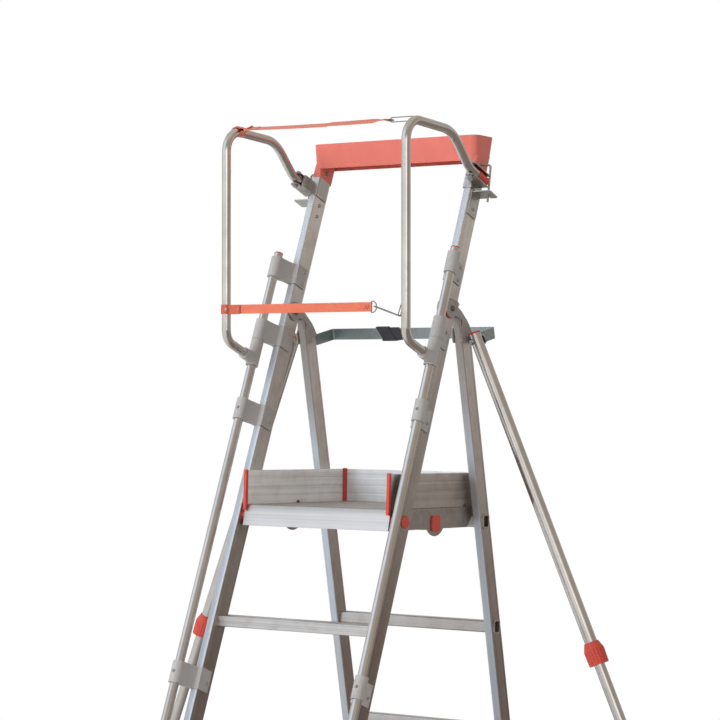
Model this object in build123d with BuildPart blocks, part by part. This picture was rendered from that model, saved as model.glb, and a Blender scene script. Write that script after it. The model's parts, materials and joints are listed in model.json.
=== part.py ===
"""Folding platform ladder with guard rails, tool tray and telescopic outriggers.

Millimetres. Z is up, X runs across the ladder to the climber's right, Y runs from the climbing side to
the rear. The origin lies on the floor under the middle of the opened ladder.
"""
import os
from math import asin, atan2, cos, degrees, hypot, radians, sin, tan

from build123d import *

os.makedirs("parts", exist_ok=True)

# Overall stance
STILE_LEAN = 20.87
FOOT_SPREAD = 1092.4
HINGE_HEIGHT = 1691.7
LEG_SETBACK = 40.0
STEP_RISE = 285.0
STEP_COUNT = 3
PLATFORM_LIFT = 12.0

# Stiles and rear legs: box sections with a groove beside the front lip
STILE_SPACING = 494.0
STILE_WIDTH = 23.0
STILE_DEPTH = 58.0
STILE_TOP = 2232.0
LEG_WIDTH = 25.0
LEG_DEPTH = 50.0
LEG_TOP_DROP = 32.0
LEG_TOP_FLAT = 5.0
LEG_REAR_DROP = 84.0
SECTION_WALL = 2.2
SECTION_CORNER = 4.0
LIP_DEPTH = 10.0
GROOVE_WIDTH = 2.0
GROOVE_DEPTH = 0.8

# Rubber shoes
SOLE = 9.0
SHOE_WALL = 4.0
SHOE_HEIGHT = 62.0

# Steps and rear rungs
STEP_DEPTH = 54.0
STEP_HEIGHT = 29.0
STEP_INSET = 8.0
STEP_WALL = 2.4
STEP_RIDGES = 6
NOSE_GROOVE_DROP = 16.0
NOSE_GROOVE_HEIGHT = 6.0
RUNG_RISE = 295.0
RUNG_COUNT = 4
RUNG_WIDTH = 27.0
RUNG_HEIGHT = 34.0
RUNG_WALL = 2.0
RUNG_FLARE = 3.5
RUNG_FLARE_WIDTH = 2.5
RUNG_CORNER = 6.0
RUNG_SEAT_GAP = 0.3
RUNG_SEAT_DROP = 22.7

# Handrails and their clips
RAIL_X = 292.0
TUBE_DIAMETER = 25.0
TUBE_WALL = 2.0
RAIL_AHEAD = 44.3
HANDRAIL_BOTTOM = 560.0
HANDRAIL_DROP = 282.0
CAP_LENGTH = 9.0
CAP_STEM = 14.0
CLIP_DROPS = (289.0, 480.4, 718.1)
LOW_CLIP_LIFT = 200.0
CLIP_LENGTH = 60.0
CLIP_WALL = 3.0
CLIP_REACH = 44.0
CLIP_HOLLOW = 0.3
CLIP_SCREW_DROPS = ((12.5, 50.0), (12.5,), (37.0,), (37.0,))
BOSS_SCREWS = (False, False, True, True)
BOSS_WALL = 5.0
SCREW_HEAD = 9.0
SCREW_HEAD_HEIGHT = 3.0
HEAD_TAPER = 25.0

# Guard rails: bent tubes that turn about the handrail axis
GUARD_REACH = 338.3
GUARD_RAKE = 14.0
GUARD_RISE = 107.6
GUARD_FALL = 11.0
SHOULDER_REACH = 108.3
ARM_BEND = 42.0
FRONT_BEND = 60.0
SHOULDER_BEND = 110.0
TAIL_BEND = 70.0
GUARD_ARM_DROP = 598.5
GUARD_TAIL_DROP = 42.0
GUARD_DESCENT = 45.0
TAIL_END = 1.5
TAIL_SLEEVE_LENGTH = 52.0
TAIL_SLEEVE_WALL = 1.0
TAIL_SLEEVE_END = 3.0
GUARD_BOLT = 8.0
GUARD_HEX = 13.0
GUARD_HEX_HEIGHT = 6.0
COLLAR_DROP = 541.2
COLLAR_HEIGHT = 76.8
COLLAR_STUB = 48.0
STUB_WALL = 4.0
ARM_SEAT = 20.0
SWIVEL_CLEARANCE = 0.3

# Channels that hold the guard rails' tails
CHANNEL_DROP = 15.0
CHANNEL_HEIGHT = 57.0
CHANNEL_SHEET = 3.0
CHANNEL_PLAY = 1.5
CHANNEL_GRIP = 52.0
CHANNEL_LIP = 14.0
CHANNEL_WEB_START = 9.0

# Latch brackets and lock rods
BRACKET_DROP = 78.0
BRACKET_HEIGHT = 68.0
BRACKET_SHEET = 3.0
BRACKET_WIDTH = 46.0
PLATE_REACH = 58.0
BRACKET_BOLT_LOW = 20.0
BRACKET_BOLT_HIGH = 14.0
ROD_DIAMETER = 6.0
ROD_LIFT = 8.5
ROD_BACK = -2.0
ROD_X = 301.0
ROD_BEND = 9.0
ROD_LENGTH = 102.5
ROD_END_BACK = 20.5
ROD_NUT = 5.0
ROD_NUT_ACROSS = 10.0
ROD_THREAD = 1.5
ROD_WASHER = 16.0
ROD_WASHER_SHEET = 2.0
NOTCH_PLAY = 0.5

# Tool tray
TRAY_RISE = 91.4
TRAY_HEIGHT = 70.0
TRAY_AHEAD = 31.9
TRAY_DEPTH = 100.0
TRAY_WIDTH = 550.0
TRAY_DRAFT = 3.0
TRAY_FRONT_DRAFT = 5.0
TRAY_REAR_DRAFT = 14.0
TRAY_CORNER = 22.0
TRAY_WALL = 3.0
TRAY_FLOOR = 16.0
SOCKET_WALL = 2.0

# Platform
PLATFORM_DEPTH = 491.0
PLATFORM_WIDTH = 472.0
PAN_DEPTH = 56.0
PAN_SHEET = 3.0
PAN_NOSE = 28.0
NOSE_RAKE = 13.0
SEAT_RELIEF = 0.75
PIVOT_DROP = 31.0
PIVOT_TUBE = 22.0
PIVOT_PLUG = 36.0
PIVOT_PLUG_HEIGHT = 4.0
PIVOT_CLEARANCE = 0.1
BUSH_DIAMETER = 36.0
BUSH_PLAY = 0.3
WASHER_INSET = 1.0
DECK_GROOVES = 9
CROSS_BACK = 207.0
CROSS_DROP = 41.0
CROSS_SIZE = 38.0
CROSS_CORNER = 8.0
PLUG_LIP = 2.0
EAR_DROP = 76.0
EAR_ROUND = 52.0
TOE_HEIGHT = 94.0
TOE_THICKNESS = 7.0
TOE_CORNER = 10.0
TOE_END = 9.0
TOE_END_DROP = 14.0
TOE_NOTCH = 9.0
TOE_NOTCH_BACKS = {"left": 240.0, "right": 376.0}
TOE_RIDGES = 3
TOE_EDGE = 2.4
TOE_CAP_RISE = 2.0
TOE_CAP_WALL = 1.0

# Hinge forks
HINGE_DISC = 53.0
HINGE_BOLT = 10.0
HINGE_PLAY = 0.2
CHEEK = 4.0
WASHER_PLAY = 0.15
FORK_LENGTH = 103.0
FORK_SKIRT = 86.5
FORK_REAR_WALL = 2.0
FORK_CROWN = ((15.0, 22.0), (33.0, 15.0), (41.0, 4.0), (32.0, -2.0))
FORK_BACK = ((47.0, -15.0), (60.0, -31.0), (72.0, -46.0), (81.0, -61.0), (88.0, -76.0))
FORK_THROAT = ((35.0, -98.0), (34.0, -72.0), (43.0, -60.0), (47.0, -45.0), (41.0, -34.0), (13.0, -23.0))
BOLT_HEAD = 17.0
BOLT_HEAD_HEIGHT = 6.0

# Stow carrier: U of sheet behind the rear legs
CARRIER_LEVEL = 1659.0
CARRIER_DEPTH = 152.0
CARRIER_HEIGHT = 32.0
CARRIER_ARM_HEIGHT = 22.0
CARRIER_TAPER_END = 66.0
CARRIER_START = 0.0
CARRIER_SHEET = 3.0
ARM_SCREW_BACK = 16.0
TIE_X = -66.0
TIE_WIDTH = 88.0
TIE_SHEET = 2.5

# Outriggers
OUTRIGGER_X = 307.0
OUTRIGGER_BACK = -6.0
OUTRIGGER_LEVEL = 1648.0
OUTRIGGER_SPLAY = 0.414
OUTRIGGER_RAKE = 0.066
OUTER_TUBE = 34.0
OUTER_WALL = 2.0
OUTER_LENGTH = 880.0
OUTER_CROWN = 22.0
INNER_CLEARANCE = 0.3
INNER_WALL = 2.0
INNER_OVERLAP = 180.0
EAR_SHEET = 4.0
EAR_RADIUS = 13.6
EAR_GAP = 1.0
LOCK_COLLAR_LENGTH = 62.0
LOCK_COLLAR_GRIP = 12.0
LOCK_COLLAR_NECK = 19.5
LOCK_COLLAR_SHOULDER = 28.0
SHOULDER_DROP = 22.0
LOCK_COLLAR_SKIRT = 27.0
LOCK_COLLAR_RIBS = 18
RIB_GROOVE = 1.8
PAD_RADIUS = 27.0
PAD_HEIGHT = 58.0

# Straps and their hardware
STRAP_WIDTH = 25.0
STRAP_SHEET = 2.0
STRAP_PLAY = 0.9
UPPER_STRAP_BACK = 78.0
UPPER_STRAP_LIFT = 9.2
LOWER_STRAP_DROP = 495.0
RING_X = 184.0
RING_WIRE = 4.0
RING_DEPTH = 18.0
RING_PLAY = 0.4
RING_CORNER = 6.0
HOOK_WIDTH = 15.0
HOOK_WIRE = 3.0
HOOK_SHEET = 3.0
HOOK_CORNER = 6.75
HOOK_BAY_CORNER = 3.75
GATE_LENGTH = 18.0
GATE_WIRE = 2.4
GATE_PLAY = 0.6
EYE_RADIUS = 7.0
EYE_STEM = 3.0
EYE_HANG = 22.0
EYE_ROUNDING = 0.1
HOOK_PLAY = 0.9

SIDES = ((-1, "left"), (1, "right"))


def lean_frame(foot_y, lean):
    """Planes of a leaning member: its cross-section at a level along it, and its side view at an x."""
    up = Vector(0, sin(radians(lean)), cos(radians(lean)))
    back = Vector(0, cos(radians(lean)), -sin(radians(lean)))
    foot = Vector(0, foot_y, 0)

    def section(level):
        return Plane(origin=foot + up * level, x_dir=(1, 0, 0), z_dir=up)

    def side_view(x):
        return Plane(origin=foot + Vector(x, 0, 0), x_dir=back, z_dir=(1, 0, 0))

    def place(x, depth, level):
        return foot + Vector(x, 0, 0) + back * depth + up * level

    return section, side_view, place


# Derived stance
stile_reach = (STILE_DEPTH / 2 + SHOE_WALL) / cos(radians(STILE_LEAN))
stile_inner = STILE_SPACING / 2
stile_outer = stile_inner + STILE_WIDTH
stile_x = (stile_inner + stile_outer) / 2
leg_inner = stile_x - LEG_WIDTH / 2
leg_outer = stile_x + LEG_WIDTH / 2
leg_back_of_hinge = LEG_SETBACK + LEG_DEPTH / 2


def leg_lean_from(stile_foot_y, leg_foot_y):
    hinge_y = stile_foot_y + HINGE_HEIGHT * tan(radians(STILE_LEAN))
    run = leg_foot_y - hinge_y
    return degrees(atan2(run, HINGE_HEIGHT) - asin(leg_back_of_hinge / hypot(run, HINGE_HEIGHT)))


rough_lean = leg_lean_from(-FOOT_SPREAD / 2, FOOT_SPREAD / 2)
leg_reach = (LEG_DEPTH / 2 + SHOE_WALL) / cos(radians(rough_lean))
stile_foot_y = -(FOOT_SPREAD + leg_reach - stile_reach) / 2
leg_foot_y = stile_foot_y + FOOT_SPREAD
leg_lean = leg_lean_from(stile_foot_y, leg_foot_y)
stile_section, stile_side, on_stile = lean_frame(stile_foot_y, STILE_LEAN)
leg_section, leg_side, on_leg = lean_frame(leg_foot_y, -leg_lean)
hinge_level = HINGE_HEIGHT / cos(radians(STILE_LEAN))
hinge_point = on_stile(0, 0, hinge_level)
leg_hinge_level = (hinge_point - Vector(0, leg_foot_y, 0)).dot(leg_section(0).z_dir)
leg_top = leg_hinge_level - LEG_TOP_DROP

platform_height = STEP_RISE * (STEP_COUNT + 1) + PLATFORM_LIFT
pivot_z = platform_height - PIVOT_DROP
pivot_level = pivot_z / cos(radians(STILE_LEAN))
pivot_y = on_stile(0, 0, pivot_level).Y
platform_front = pivot_y - PAN_NOSE
platform_rear = platform_front + PLATFORM_DEPTH
platform_half = PLATFORM_WIDTH / 2

tube_radius = TUBE_DIAMETER / 2
rail_depth = -STILE_DEPTH / 2 - RAIL_AHEAD
tail_radius = tube_radius + TAIL_SLEEVE_WALL
channel_half = tail_radius + CHANNEL_PLAY
channel_web = RAIL_X - tail_radius - SWIVEL_CLEARANCE

# Levels along a stile of what is fitted near its top
handrail_top = STILE_TOP - HANDRAIL_DROP
clip_tops = [STILE_TOP - drop for drop in CLIP_DROPS] + [HANDRAIL_BOTTOM + LOW_CLIP_LIFT]
guard_arm_level = STILE_TOP - GUARD_ARM_DROP
guard_tail_level = STILE_TOP - GUARD_TAIL_DROP
collar_top = STILE_TOP - COLLAR_DROP
collar_bottom = collar_top - COLLAR_HEIGHT
channel_top = STILE_TOP - CHANNEL_DROP
channel_bottom = channel_top - CHANNEL_HEIGHT
bracket_top = STILE_TOP - BRACKET_DROP
bracket_bottom = bracket_top - BRACKET_HEIGHT
rod_level = STILE_TOP + ROD_LIFT
rod_end_level = rod_level - ROD_LENGTH


def save(part, name):
    part.label = name
    export_step(part, f"parts/{name}.step")


def x_start(side, near, far):
    """Lower x of a slab that lies between two distances from the middle plane on one side."""
    return near if side > 0 else -far


def grooved_box(x, width, depth):
    """Section of a hollow rounded box with a groove beside its front lip on both flanks."""
    with Locations((x, 0)):
        RectangleRounded(width, depth, SECTION_CORNER)
        RectangleRounded(
            width - 2 * SECTION_WALL, depth - 2 * SECTION_WALL, SECTION_CORNER / 2, mode=Mode.SUBTRACT
        )
    lip = -depth / 2 + LIP_DEPTH
    with Locations((x - width / 2, lip), (x + width / 2, lip), (x - width / 2, -lip), (x + width / 2, -lip)):
        Rectangle(2 * GROOVE_DEPTH, GROOVE_WIDTH, mode=Mode.SUBTRACT)


def member_body(section, x, width, depth, top):
    """Outside of a leaning member from its sole upwards, used to seat what grips it."""
    with BuildPart() as body:
        with BuildSketch(section(-depth)):
            with Locations((x, 0)):
                RectangleRounded(width, depth, SECTION_CORNER)
        extrude(amount=top + depth)
        split(bisect_by=Plane.XY.offset(SOLE), keep=Keep.TOP)
    return body.part


def solid_stile(side):
    """Outside of one stile without its hollow."""
    return member_body(stile_section, side * stile_x, STILE_WIDTH, STILE_DEPTH, STILE_TOP)


def bent_tube(points, bends, radius, wall):
    """Round tube, or rod when wall is zero, along straight runs joined by tangent arcs."""
    with BuildPart() as tube:
        with BuildLine() as path:
            FilletPolyline(*points, radius=bends)
        with BuildSketch(Plane(origin=path.line @ 0, z_dir=path.line % 0)):
            Circle(radius)
            if wall:
                Circle(radius - wall, mode=Mode.SUBTRACT)
        sweep()
    return tube.part


def cross_bore(plane, spots, diameter, length):
    """Round hole through the current part, along the plane's normal."""
    with BuildSketch(plane) as holes:
        with Locations(*spots):
            Circle(diameter / 2)
    extrude(holes.sketch, amount=length, mode=Mode.SUBTRACT)


def button_head(seat, direction, diameter, height):
    """Domed screw head on a face."""
    with BuildSketch(Plane(origin=seat, z_dir=direction)) as base:
        Circle(diameter / 2)
    extrude(base.sketch, amount=height, taper=HEAD_TAPER)


def hex_head(seat, direction, across, height):
    """Hexagonal bolt head or nut on a face."""
    with BuildSketch(Plane(origin=seat, z_dir=direction)) as base:
        RegularPolygon(across / 2, 6, major_radius=False)
    extrude(base.sketch, amount=height)


# Stiles
for side, name in SIDES:
    with BuildPart() as stile:
        with BuildSketch(stile_section(-STILE_DEPTH)):
            grooved_box(side * stile_x, STILE_WIDTH, STILE_DEPTH)
        extrude(amount=STILE_TOP + STILE_DEPTH)
        split(bisect_by=Plane.XY.offset(SOLE), keep=Keep.TOP)
        bore_plane = stile_side(x_start(side, stile_inner, stile_outer))
        cross_bore(bore_plane, [(0, hinge_level)], HINGE_BOLT, STILE_WIDTH)
        cross_bore(bore_plane, [(0, pivot_level)], PIVOT_TUBE, STILE_WIDTH)
    save(stile.part, f"{name}_stile")

# Steps: hollow treads with a ridged top, a groove and a lip along the nosing
step_names = ("lower_step", "middle_step", "upper_step")
for number, name in enumerate(step_names, start=1):
    top = number * STEP_RISE
    front = on_stile(0, -STILE_DEPTH / 2, 0).Y + tan(radians(STILE_LEAN)) * top + STEP_INSET
    with BuildPart() as step:
        with BuildSketch(Plane.YZ.offset(-stile_inner)):
            with Locations((front + STEP_DEPTH / 2, top - STEP_HEIGHT / 2)):
                RectangleRounded(STEP_DEPTH, STEP_HEIGHT, STEP_WALL)
                Rectangle(STEP_DEPTH - 4 * STEP_WALL, STEP_HEIGHT - 3 * STEP_WALL, mode=Mode.SUBTRACT)
            with Locations((front, top - NOSE_GROOVE_DROP)):
                Rectangle(STEP_WALL, NOSE_GROOVE_HEIGHT, mode=Mode.SUBTRACT)
            with Locations((front + STEP_DEPTH / 2, top)):
                with GridLocations(STEP_DEPTH / (STEP_RIDGES + 1), 1, STEP_RIDGES, 1):
                    Rectangle(STEP_WALL, STEP_WALL / 2, mode=Mode.SUBTRACT)
        extrude(amount=STILE_SPACING)
    save(step.part, name)


def shoe(section, x, width, depth):
    """Rubber shoe: a boot round the end of a leaning member with a flat sole."""
    with BuildSketch(section(-depth)) as boot:
        with Locations((x, 0)):
            RectangleRounded(width + 2 * SHOE_WALL, depth + 2 * SHOE_WALL, SECTION_CORNER + SHOE_WALL)
    extrude(boot.sketch, amount=SHOE_HEIGHT + depth)


with BuildPart() as front_feet:
    for side, name in SIDES:
        shoe(stile_section, side * stile_x, STILE_WIDTH, STILE_DEPTH)
    split(bisect_by=Plane.XY, keep=Keep.TOP)
    for side, name in SIDES:
        add(solid_stile(side), mode=Mode.SUBTRACT)
save(front_feet.part, "front_feet")

# Platform pivot: a tube through both stiles, with plugs outside and bushes inside
with BuildPart() as pivot_tube:
    with BuildSketch(Plane.YZ.offset(-stile_outer)):
        with Locations((pivot_y, pivot_z)):
            Circle(PIVOT_TUBE / 2)
            Circle(PIVOT_TUBE / 2 - TUBE_WALL, mode=Mode.SUBTRACT)
    extrude(amount=2 * stile_outer)
save(pivot_tube.part, "platform_pivot_tube")

with BuildPart() as pivot_plugs:
    for side, name in SIDES:
        seat = Vector(side * stile_outer, pivot_y, pivot_z)
        button_head(seat, (side, 0, 0), PIVOT_PLUG, PIVOT_PLUG_HEIGHT)
        with BuildSketch(Plane(origin=seat, z_dir=(-side, 0, 0))):
            Circle(PIVOT_TUBE / 2 - TUBE_WALL)
        extrude(amount=STILE_WIDTH)
save(pivot_plugs.part, "platform_pivot_plugs")

bush_length = stile_inner - platform_half - BUSH_PLAY
washer_length = stile_inner - leg_inner - 2 * WASHER_PLAY
with BuildPart() as pivot_washers:
    for side, name in SIDES:
        bush_plane = Plane.YZ.offset(x_start(side, platform_half + BUSH_PLAY, stile_inner))
        with BuildSketch(bush_plane):
            with Locations((pivot_y, pivot_z)):
                Circle(BUSH_DIAMETER / 2)
                Circle(PIVOT_TUBE / 2, mode=Mode.SUBTRACT)
        extrude(amount=bush_length)
        for near in (leg_inner + WASHER_PLAY, stile_outer + WASHER_PLAY):
            with BuildSketch(Plane.YZ.offset(x_start(side, near, near + washer_length))):
                with Locations((hinge_point.Y, hinge_point.Z)):
                    Circle(HINGE_DISC / 2 - WASHER_INSET)
                    Circle(HINGE_BOLT / 2, mode=Mode.SUBTRACT)
            extrude(amount=washer_length)
save(pivot_washers.part, "pivot_washers")

# Handrails and their end caps
for side, name in SIDES:
    with BuildPart() as handrail:
        with BuildSketch(stile_section(HANDRAIL_BOTTOM)):
            with Locations((side * RAIL_X, rail_depth)):
                Circle(tube_radius)
                Circle(tube_radius - TUBE_WALL, mode=Mode.SUBTRACT)
        extrude(amount=handrail_top - HANDRAIL_BOTTOM)
    save(handrail.part, f"{name}_handrail")

stile_up = stile_section(0).z_dir
with BuildPart() as handrail_caps:
    for side, name in SIDES:
        for level, outward in ((handrail_top, stile_up), (HANDRAIL_BOTTOM, -stile_up)):
            seat = on_stile(side * RAIL_X, rail_depth, level)
            with BuildSketch(Plane(origin=seat, z_dir=outward)):
                Circle(tube_radius)
            extrude(amount=CAP_LENGTH / 2)
            button_head(seat + outward * (CAP_LENGTH / 2), outward, TUBE_DIAMETER, CAP_LENGTH / 2)
            with BuildSketch(Plane(origin=seat, z_dir=-outward)):
                Circle(tube_radius - TUBE_WALL)
            extrude(amount=CAP_STEM)
save(handrail_caps.part, "handrail_caps")


def saddle(side, wall, reach):
    """Sketch of a strap round the front and both flanks of a stile, without the stile's own section."""
    front = -STILE_DEPTH / 2 - wall
    with Locations((side * stile_x, front + (reach + wall) / 2)):
        RectangleRounded(STILE_WIDTH + 2 * wall, reach + wall, wall)


def clip_profile(side):
    """Boss round the handrail, curved arm and saddle round the stile."""
    boss = tube_radius + BOSS_WALL
    stile_front = -STILE_DEPTH / 2
    saddle(side, CLIP_WALL, CLIP_REACH)
    with Locations((side * RAIL_X, rail_depth)):
        Circle(boss)
    with BuildLine() as arm:
        inner = Line(
            (side * stile_x, stile_front - CLIP_WALL / 2), (side * stile_x, stile_front - CLIP_WALL)
        )
        hollow = ThreePointArc(
            inner @ 1,
            (side * (stile_x + (RAIL_X - stile_x) * CLIP_HOLLOW), (stile_front + rail_depth) / 2 - CLIP_WALL),
            (side * (RAIL_X - boss), rail_depth),
        )
        across = Line(hollow @ 1, (side * RAIL_X, rail_depth + boss))
        flank = ThreePointArc(
            across @ 1,
            (side * (stile_outer + 2 * CLIP_WALL), stile_front - CLIP_WALL),
            (side * (stile_outer + CLIP_WALL), stile_front + boss),
        )
        Polyline(flank @ 1, (side * stile_outer, stile_front), inner @ 0)
    make_face(arm.edges())
    with Locations((side * stile_x, 0)):
        Rectangle(STILE_WIDTH, STILE_DEPTH, mode=Mode.SUBTRACT)
    with Locations((side * RAIL_X, rail_depth)):
        Circle(tube_radius, mode=Mode.SUBTRACT)


with BuildPart() as clips:
    for side, name in SIDES:
        for clip_top in clip_tops:
            with BuildSketch(stile_section(clip_top - CLIP_LENGTH)):
                clip_profile(side)
            extrude(amount=CLIP_LENGTH)
save(clips.part, "handrail_clips")

with BuildPart() as screws:
    for side, name in SIDES:
        for clip_top, drops in zip(clip_tops, CLIP_SCREW_DROPS):
            for drop in drops:
                level = clip_top - drop
                button_head(on_stile(side * (stile_outer + CLIP_WALL), 0, level), (side, 0, 0),
                            SCREW_HEAD, SCREW_HEAD_HEIGHT)
                button_head(on_stile(side * (stile_inner - CLIP_WALL), 0, level), (-side, 0, 0),
                            SCREW_HEAD, SCREW_HEAD_HEIGHT)
        for clip_top, screwed in zip(clip_tops, BOSS_SCREWS):
            if screwed:
                boss_depth = rail_depth - tube_radius - BOSS_WALL
                boss_front = on_stile(side * RAIL_X, boss_depth, clip_top - CLIP_LENGTH / 2)
                button_head(boss_front, -stile_section(0).y_dir, SCREW_HEAD, SCREW_HEAD_HEIGHT)
save(screws.part, "clip_screws")

# Tool tray: drafted shell with a raised floor and a socket over each stile's top
stile_end = on_stile(0, 0, STILE_TOP)
tray_top = stile_end.Z + TRAY_RISE
tray_bottom = tray_top - TRAY_HEIGHT
tray_floor = tray_bottom + TRAY_FLOOR
tray_front = stile_end.Y - TRAY_AHEAD
tray_rear = tray_front + TRAY_DEPTH


def tray_ring(level, inset):
    """Outline of the tray at a height, drawn in by the draft below the rim and by an inset."""
    fall = (tray_top - level) / TRAY_HEIGHT
    front = tray_front + TRAY_FRONT_DRAFT * fall + inset
    rear = tray_rear - TRAY_REAR_DRAFT * fall - inset
    with BuildSketch(Plane.XY.offset(level)) as ring:
        with Locations((0, (front + rear) / 2)):
            RectangleRounded(TRAY_WIDTH - 2 * (TRAY_DRAFT * fall + inset), rear - front, TRAY_CORNER - inset)
    return ring.sketch.face()


def tray_socket(side):
    """Sleeve under the tray's floor that fits over a stile's top."""
    with BuildPart() as socket:
        with BuildSketch(stile_section(channel_top)):
            with Locations((side * stile_x, 0)):
                RectangleRounded(STILE_WIDTH + 2 * SOCKET_WALL, STILE_DEPTH + 2 * SOCKET_WALL, SECTION_CORNER)
        extrude(amount=STILE_TOP)
        split(bisect_by=Plane.XY.offset(tray_floor - TRAY_WALL / 2), keep=Keep.BOTTOM)
    return socket.part


with BuildPart() as tray:
    loft([tray_ring(tray_bottom, 0), tray_ring(tray_top, 0)])
    loft([tray_ring(tray_floor, TRAY_WALL), tray_ring(tray_top, TRAY_WALL)], mode=Mode.SUBTRACT)
    loft(
        [tray_ring(tray_bottom, TRAY_WALL), tray_ring(tray_floor - TRAY_WALL, TRAY_WALL)], mode=Mode.SUBTRACT
    )
    for side, name in SIDES:
        add(tray_socket(side))
        add(solid_stile(side), mode=Mode.SUBTRACT)
        rod_bore = stile_side(x_start(side, stile_inner - SOCKET_WALL, stile_outer + SOCKET_WALL))
        cross_bore(
            rod_bore, [(ROD_BACK, rod_level)],
            ROD_DIAMETER + 2 * SWIVEL_CLEARANCE, STILE_WIDTH + 2 * SOCKET_WALL
        )
save(tray.part, "tool_tray")

# Channels: a saddle on the stile and an outward U round the guard rail's tail
flange_outer = RAIL_X + CHANNEL_LIP
for side, name in SIDES:
    with BuildPart() as channel:
        with BuildSketch(stile_section(channel_bottom)):
            saddle(side, CHANNEL_SHEET, CHANNEL_GRIP)
            with Locations((side * stile_x, 0)):
                Rectangle(STILE_WIDTH, STILE_DEPTH, mode=Mode.SUBTRACT)
        extrude(amount=channel_top - channel_bottom)
        flange_low = guard_tail_level - channel_half - CHANNEL_SHEET
        web_front = rail_depth + CHANNEL_WEB_START
        with BuildSketch(stile_section(flange_low)):
            with Locations((side * (stile_outer + channel_web) / 2, (web_front + TAIL_END) / 2)):
                Rectangle(channel_web - stile_outer, TAIL_END - web_front)
        extrude(amount=2 * (channel_half + CHANNEL_SHEET))
        for level in (flange_low, guard_tail_level + channel_half):
            with BuildSketch(stile_section(level)):
                with Locations((side * (stile_outer + flange_outer) / 2, (web_front + TAIL_END) / 2)):
                    Rectangle(flange_outer - stile_outer, TAIL_END - web_front)
                with Locations((side * RAIL_X, (web_front + rail_depth) / 2)):
                    Rectangle(2 * CHANNEL_LIP, web_front - rail_depth)
                with Locations((side * RAIL_X, rail_depth)):
                    Circle(CHANNEL_LIP)
                    Circle(GUARD_BOLT / 2, mode=Mode.SUBTRACT)
            extrude(amount=CHANNEL_SHEET)
        add(solid_stile(side), mode=Mode.SUBTRACT)
    save(channel.part, f"{name}_rail_channel")

with BuildPart() as rail_bolts:
    for side, name in SIDES:
        low = on_stile(side * RAIL_X, rail_depth, guard_tail_level - channel_half - CHANNEL_SHEET)
        high = on_stile(side * RAIL_X, rail_depth, guard_tail_level + channel_half + CHANNEL_SHEET)
        with BuildSketch(Plane(origin=low, z_dir=stile_up)):
            Circle(GUARD_BOLT / 2)
        extrude(amount=(high - low).length + GUARD_BOLT)
        hex_head(low, -stile_up, GUARD_HEX, GUARD_HEX_HEIGHT)
        hex_head(high, stile_up, GUARD_HEX, GUARD_HEX_HEIGHT)
save(rail_bolts.part, "rail_pivot_bolts")

# Latch brackets: a plate on the stile's flank and a notched plate square to the stile
plate_rear = BRACKET_WIDTH / 2 + CLIP_WALL
rod_slope = (ROD_END_BACK - ROD_BACK) / (rod_level - rod_end_level)
rod_at_plate = ROD_BACK + rod_slope * (rod_level - bracket_top)
notch = ROD_DIAMETER + 2 * NOTCH_PLAY
for side, name in SIDES:
    with BuildPart() as bracket:
        flank = stile_side(x_start(side, stile_outer, stile_outer + BRACKET_SHEET))
        with BuildSketch(flank):
            with Locations((0, (bracket_bottom + bracket_top) / 2)):
                RectangleRounded(BRACKET_WIDTH, bracket_top - bracket_bottom, BRACKET_SHEET)
        extrude(amount=BRACKET_SHEET)
        with BuildSketch(stile_section(bracket_top - BRACKET_SHEET)):
            plate_x = side * (stile_outer + PLATE_REACH / 2)
            with Locations((plate_x, plate_rear - BRACKET_WIDTH / 2)):
                RectangleRounded(PLATE_REACH, BRACKET_WIDTH, 2 * BRACKET_SHEET)
            with Locations((side * (stile_outer + BRACKET_SHEET), 0)):
                Rectangle(2 * BRACKET_SHEET, BRACKET_WIDTH - 2 * BRACKET_SHEET)
            with Locations((side * ROD_X, rod_at_plate)):
                Circle(notch / 2, mode=Mode.SUBTRACT)
            with Locations((side * ROD_X, rod_at_plate + plate_rear / 2)):
                Rectangle(notch, plate_rear, mode=Mode.SUBTRACT)
        extrude(amount=BRACKET_SHEET)
    save(bracket.part, f"{name}_latch_bracket")

with BuildPart() as latch_fasteners:
    for side, name in SIDES:
        for level in (bracket_bottom + BRACKET_BOLT_LOW, bracket_top - BRACKET_BOLT_HIGH):
            button_head(on_stile(side * (stile_outer + BRACKET_SHEET), 0, level), (side, 0, 0),
                        SCREW_HEAD, SCREW_HEAD_HEIGHT)
            hex_head(on_stile(side * stile_inner, 0, level), (-side, 0, 0), SCREW_HEAD, SCREW_HEAD_HEIGHT)
        washer_seat = on_stile(side * (stile_outer + SOCKET_WALL), ROD_BACK, rod_level)
        with BuildSketch(Plane(origin=washer_seat, z_dir=(side, 0, 0))):
            Circle(ROD_WASHER / 2)
            Circle(ROD_DIAMETER / 2 + SWIVEL_CLEARANCE, mode=Mode.SUBTRACT)
        extrude(amount=ROD_WASHER_SHEET)
save(latch_fasteners.part, "latch_fasteners")

# Lock rods: L-shaped, turning in the tray sockets, with the nut inside
for side, name in SIDES:
    nut_x = stile_inner - SOCKET_WALL - SWIVEL_CLEARANCE
    rod_points = (
        on_stile(side * (nut_x - ROD_NUT - ROD_THREAD), ROD_BACK, rod_level),
        on_stile(side * ROD_X, ROD_BACK, rod_level),
        on_stile(side * ROD_X, ROD_END_BACK, rod_end_level),
    )
    with BuildPart() as lock_rod:
        add(bent_tube(rod_points, ROD_BEND, ROD_DIAMETER / 2, 0))
        hex_head(on_stile(side * nut_x, ROD_BACK, rod_level), (-side, 0, 0), ROD_NUT_ACROSS, ROD_NUT)
    save(lock_rod.part, f"{name}_lock_rod")

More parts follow.
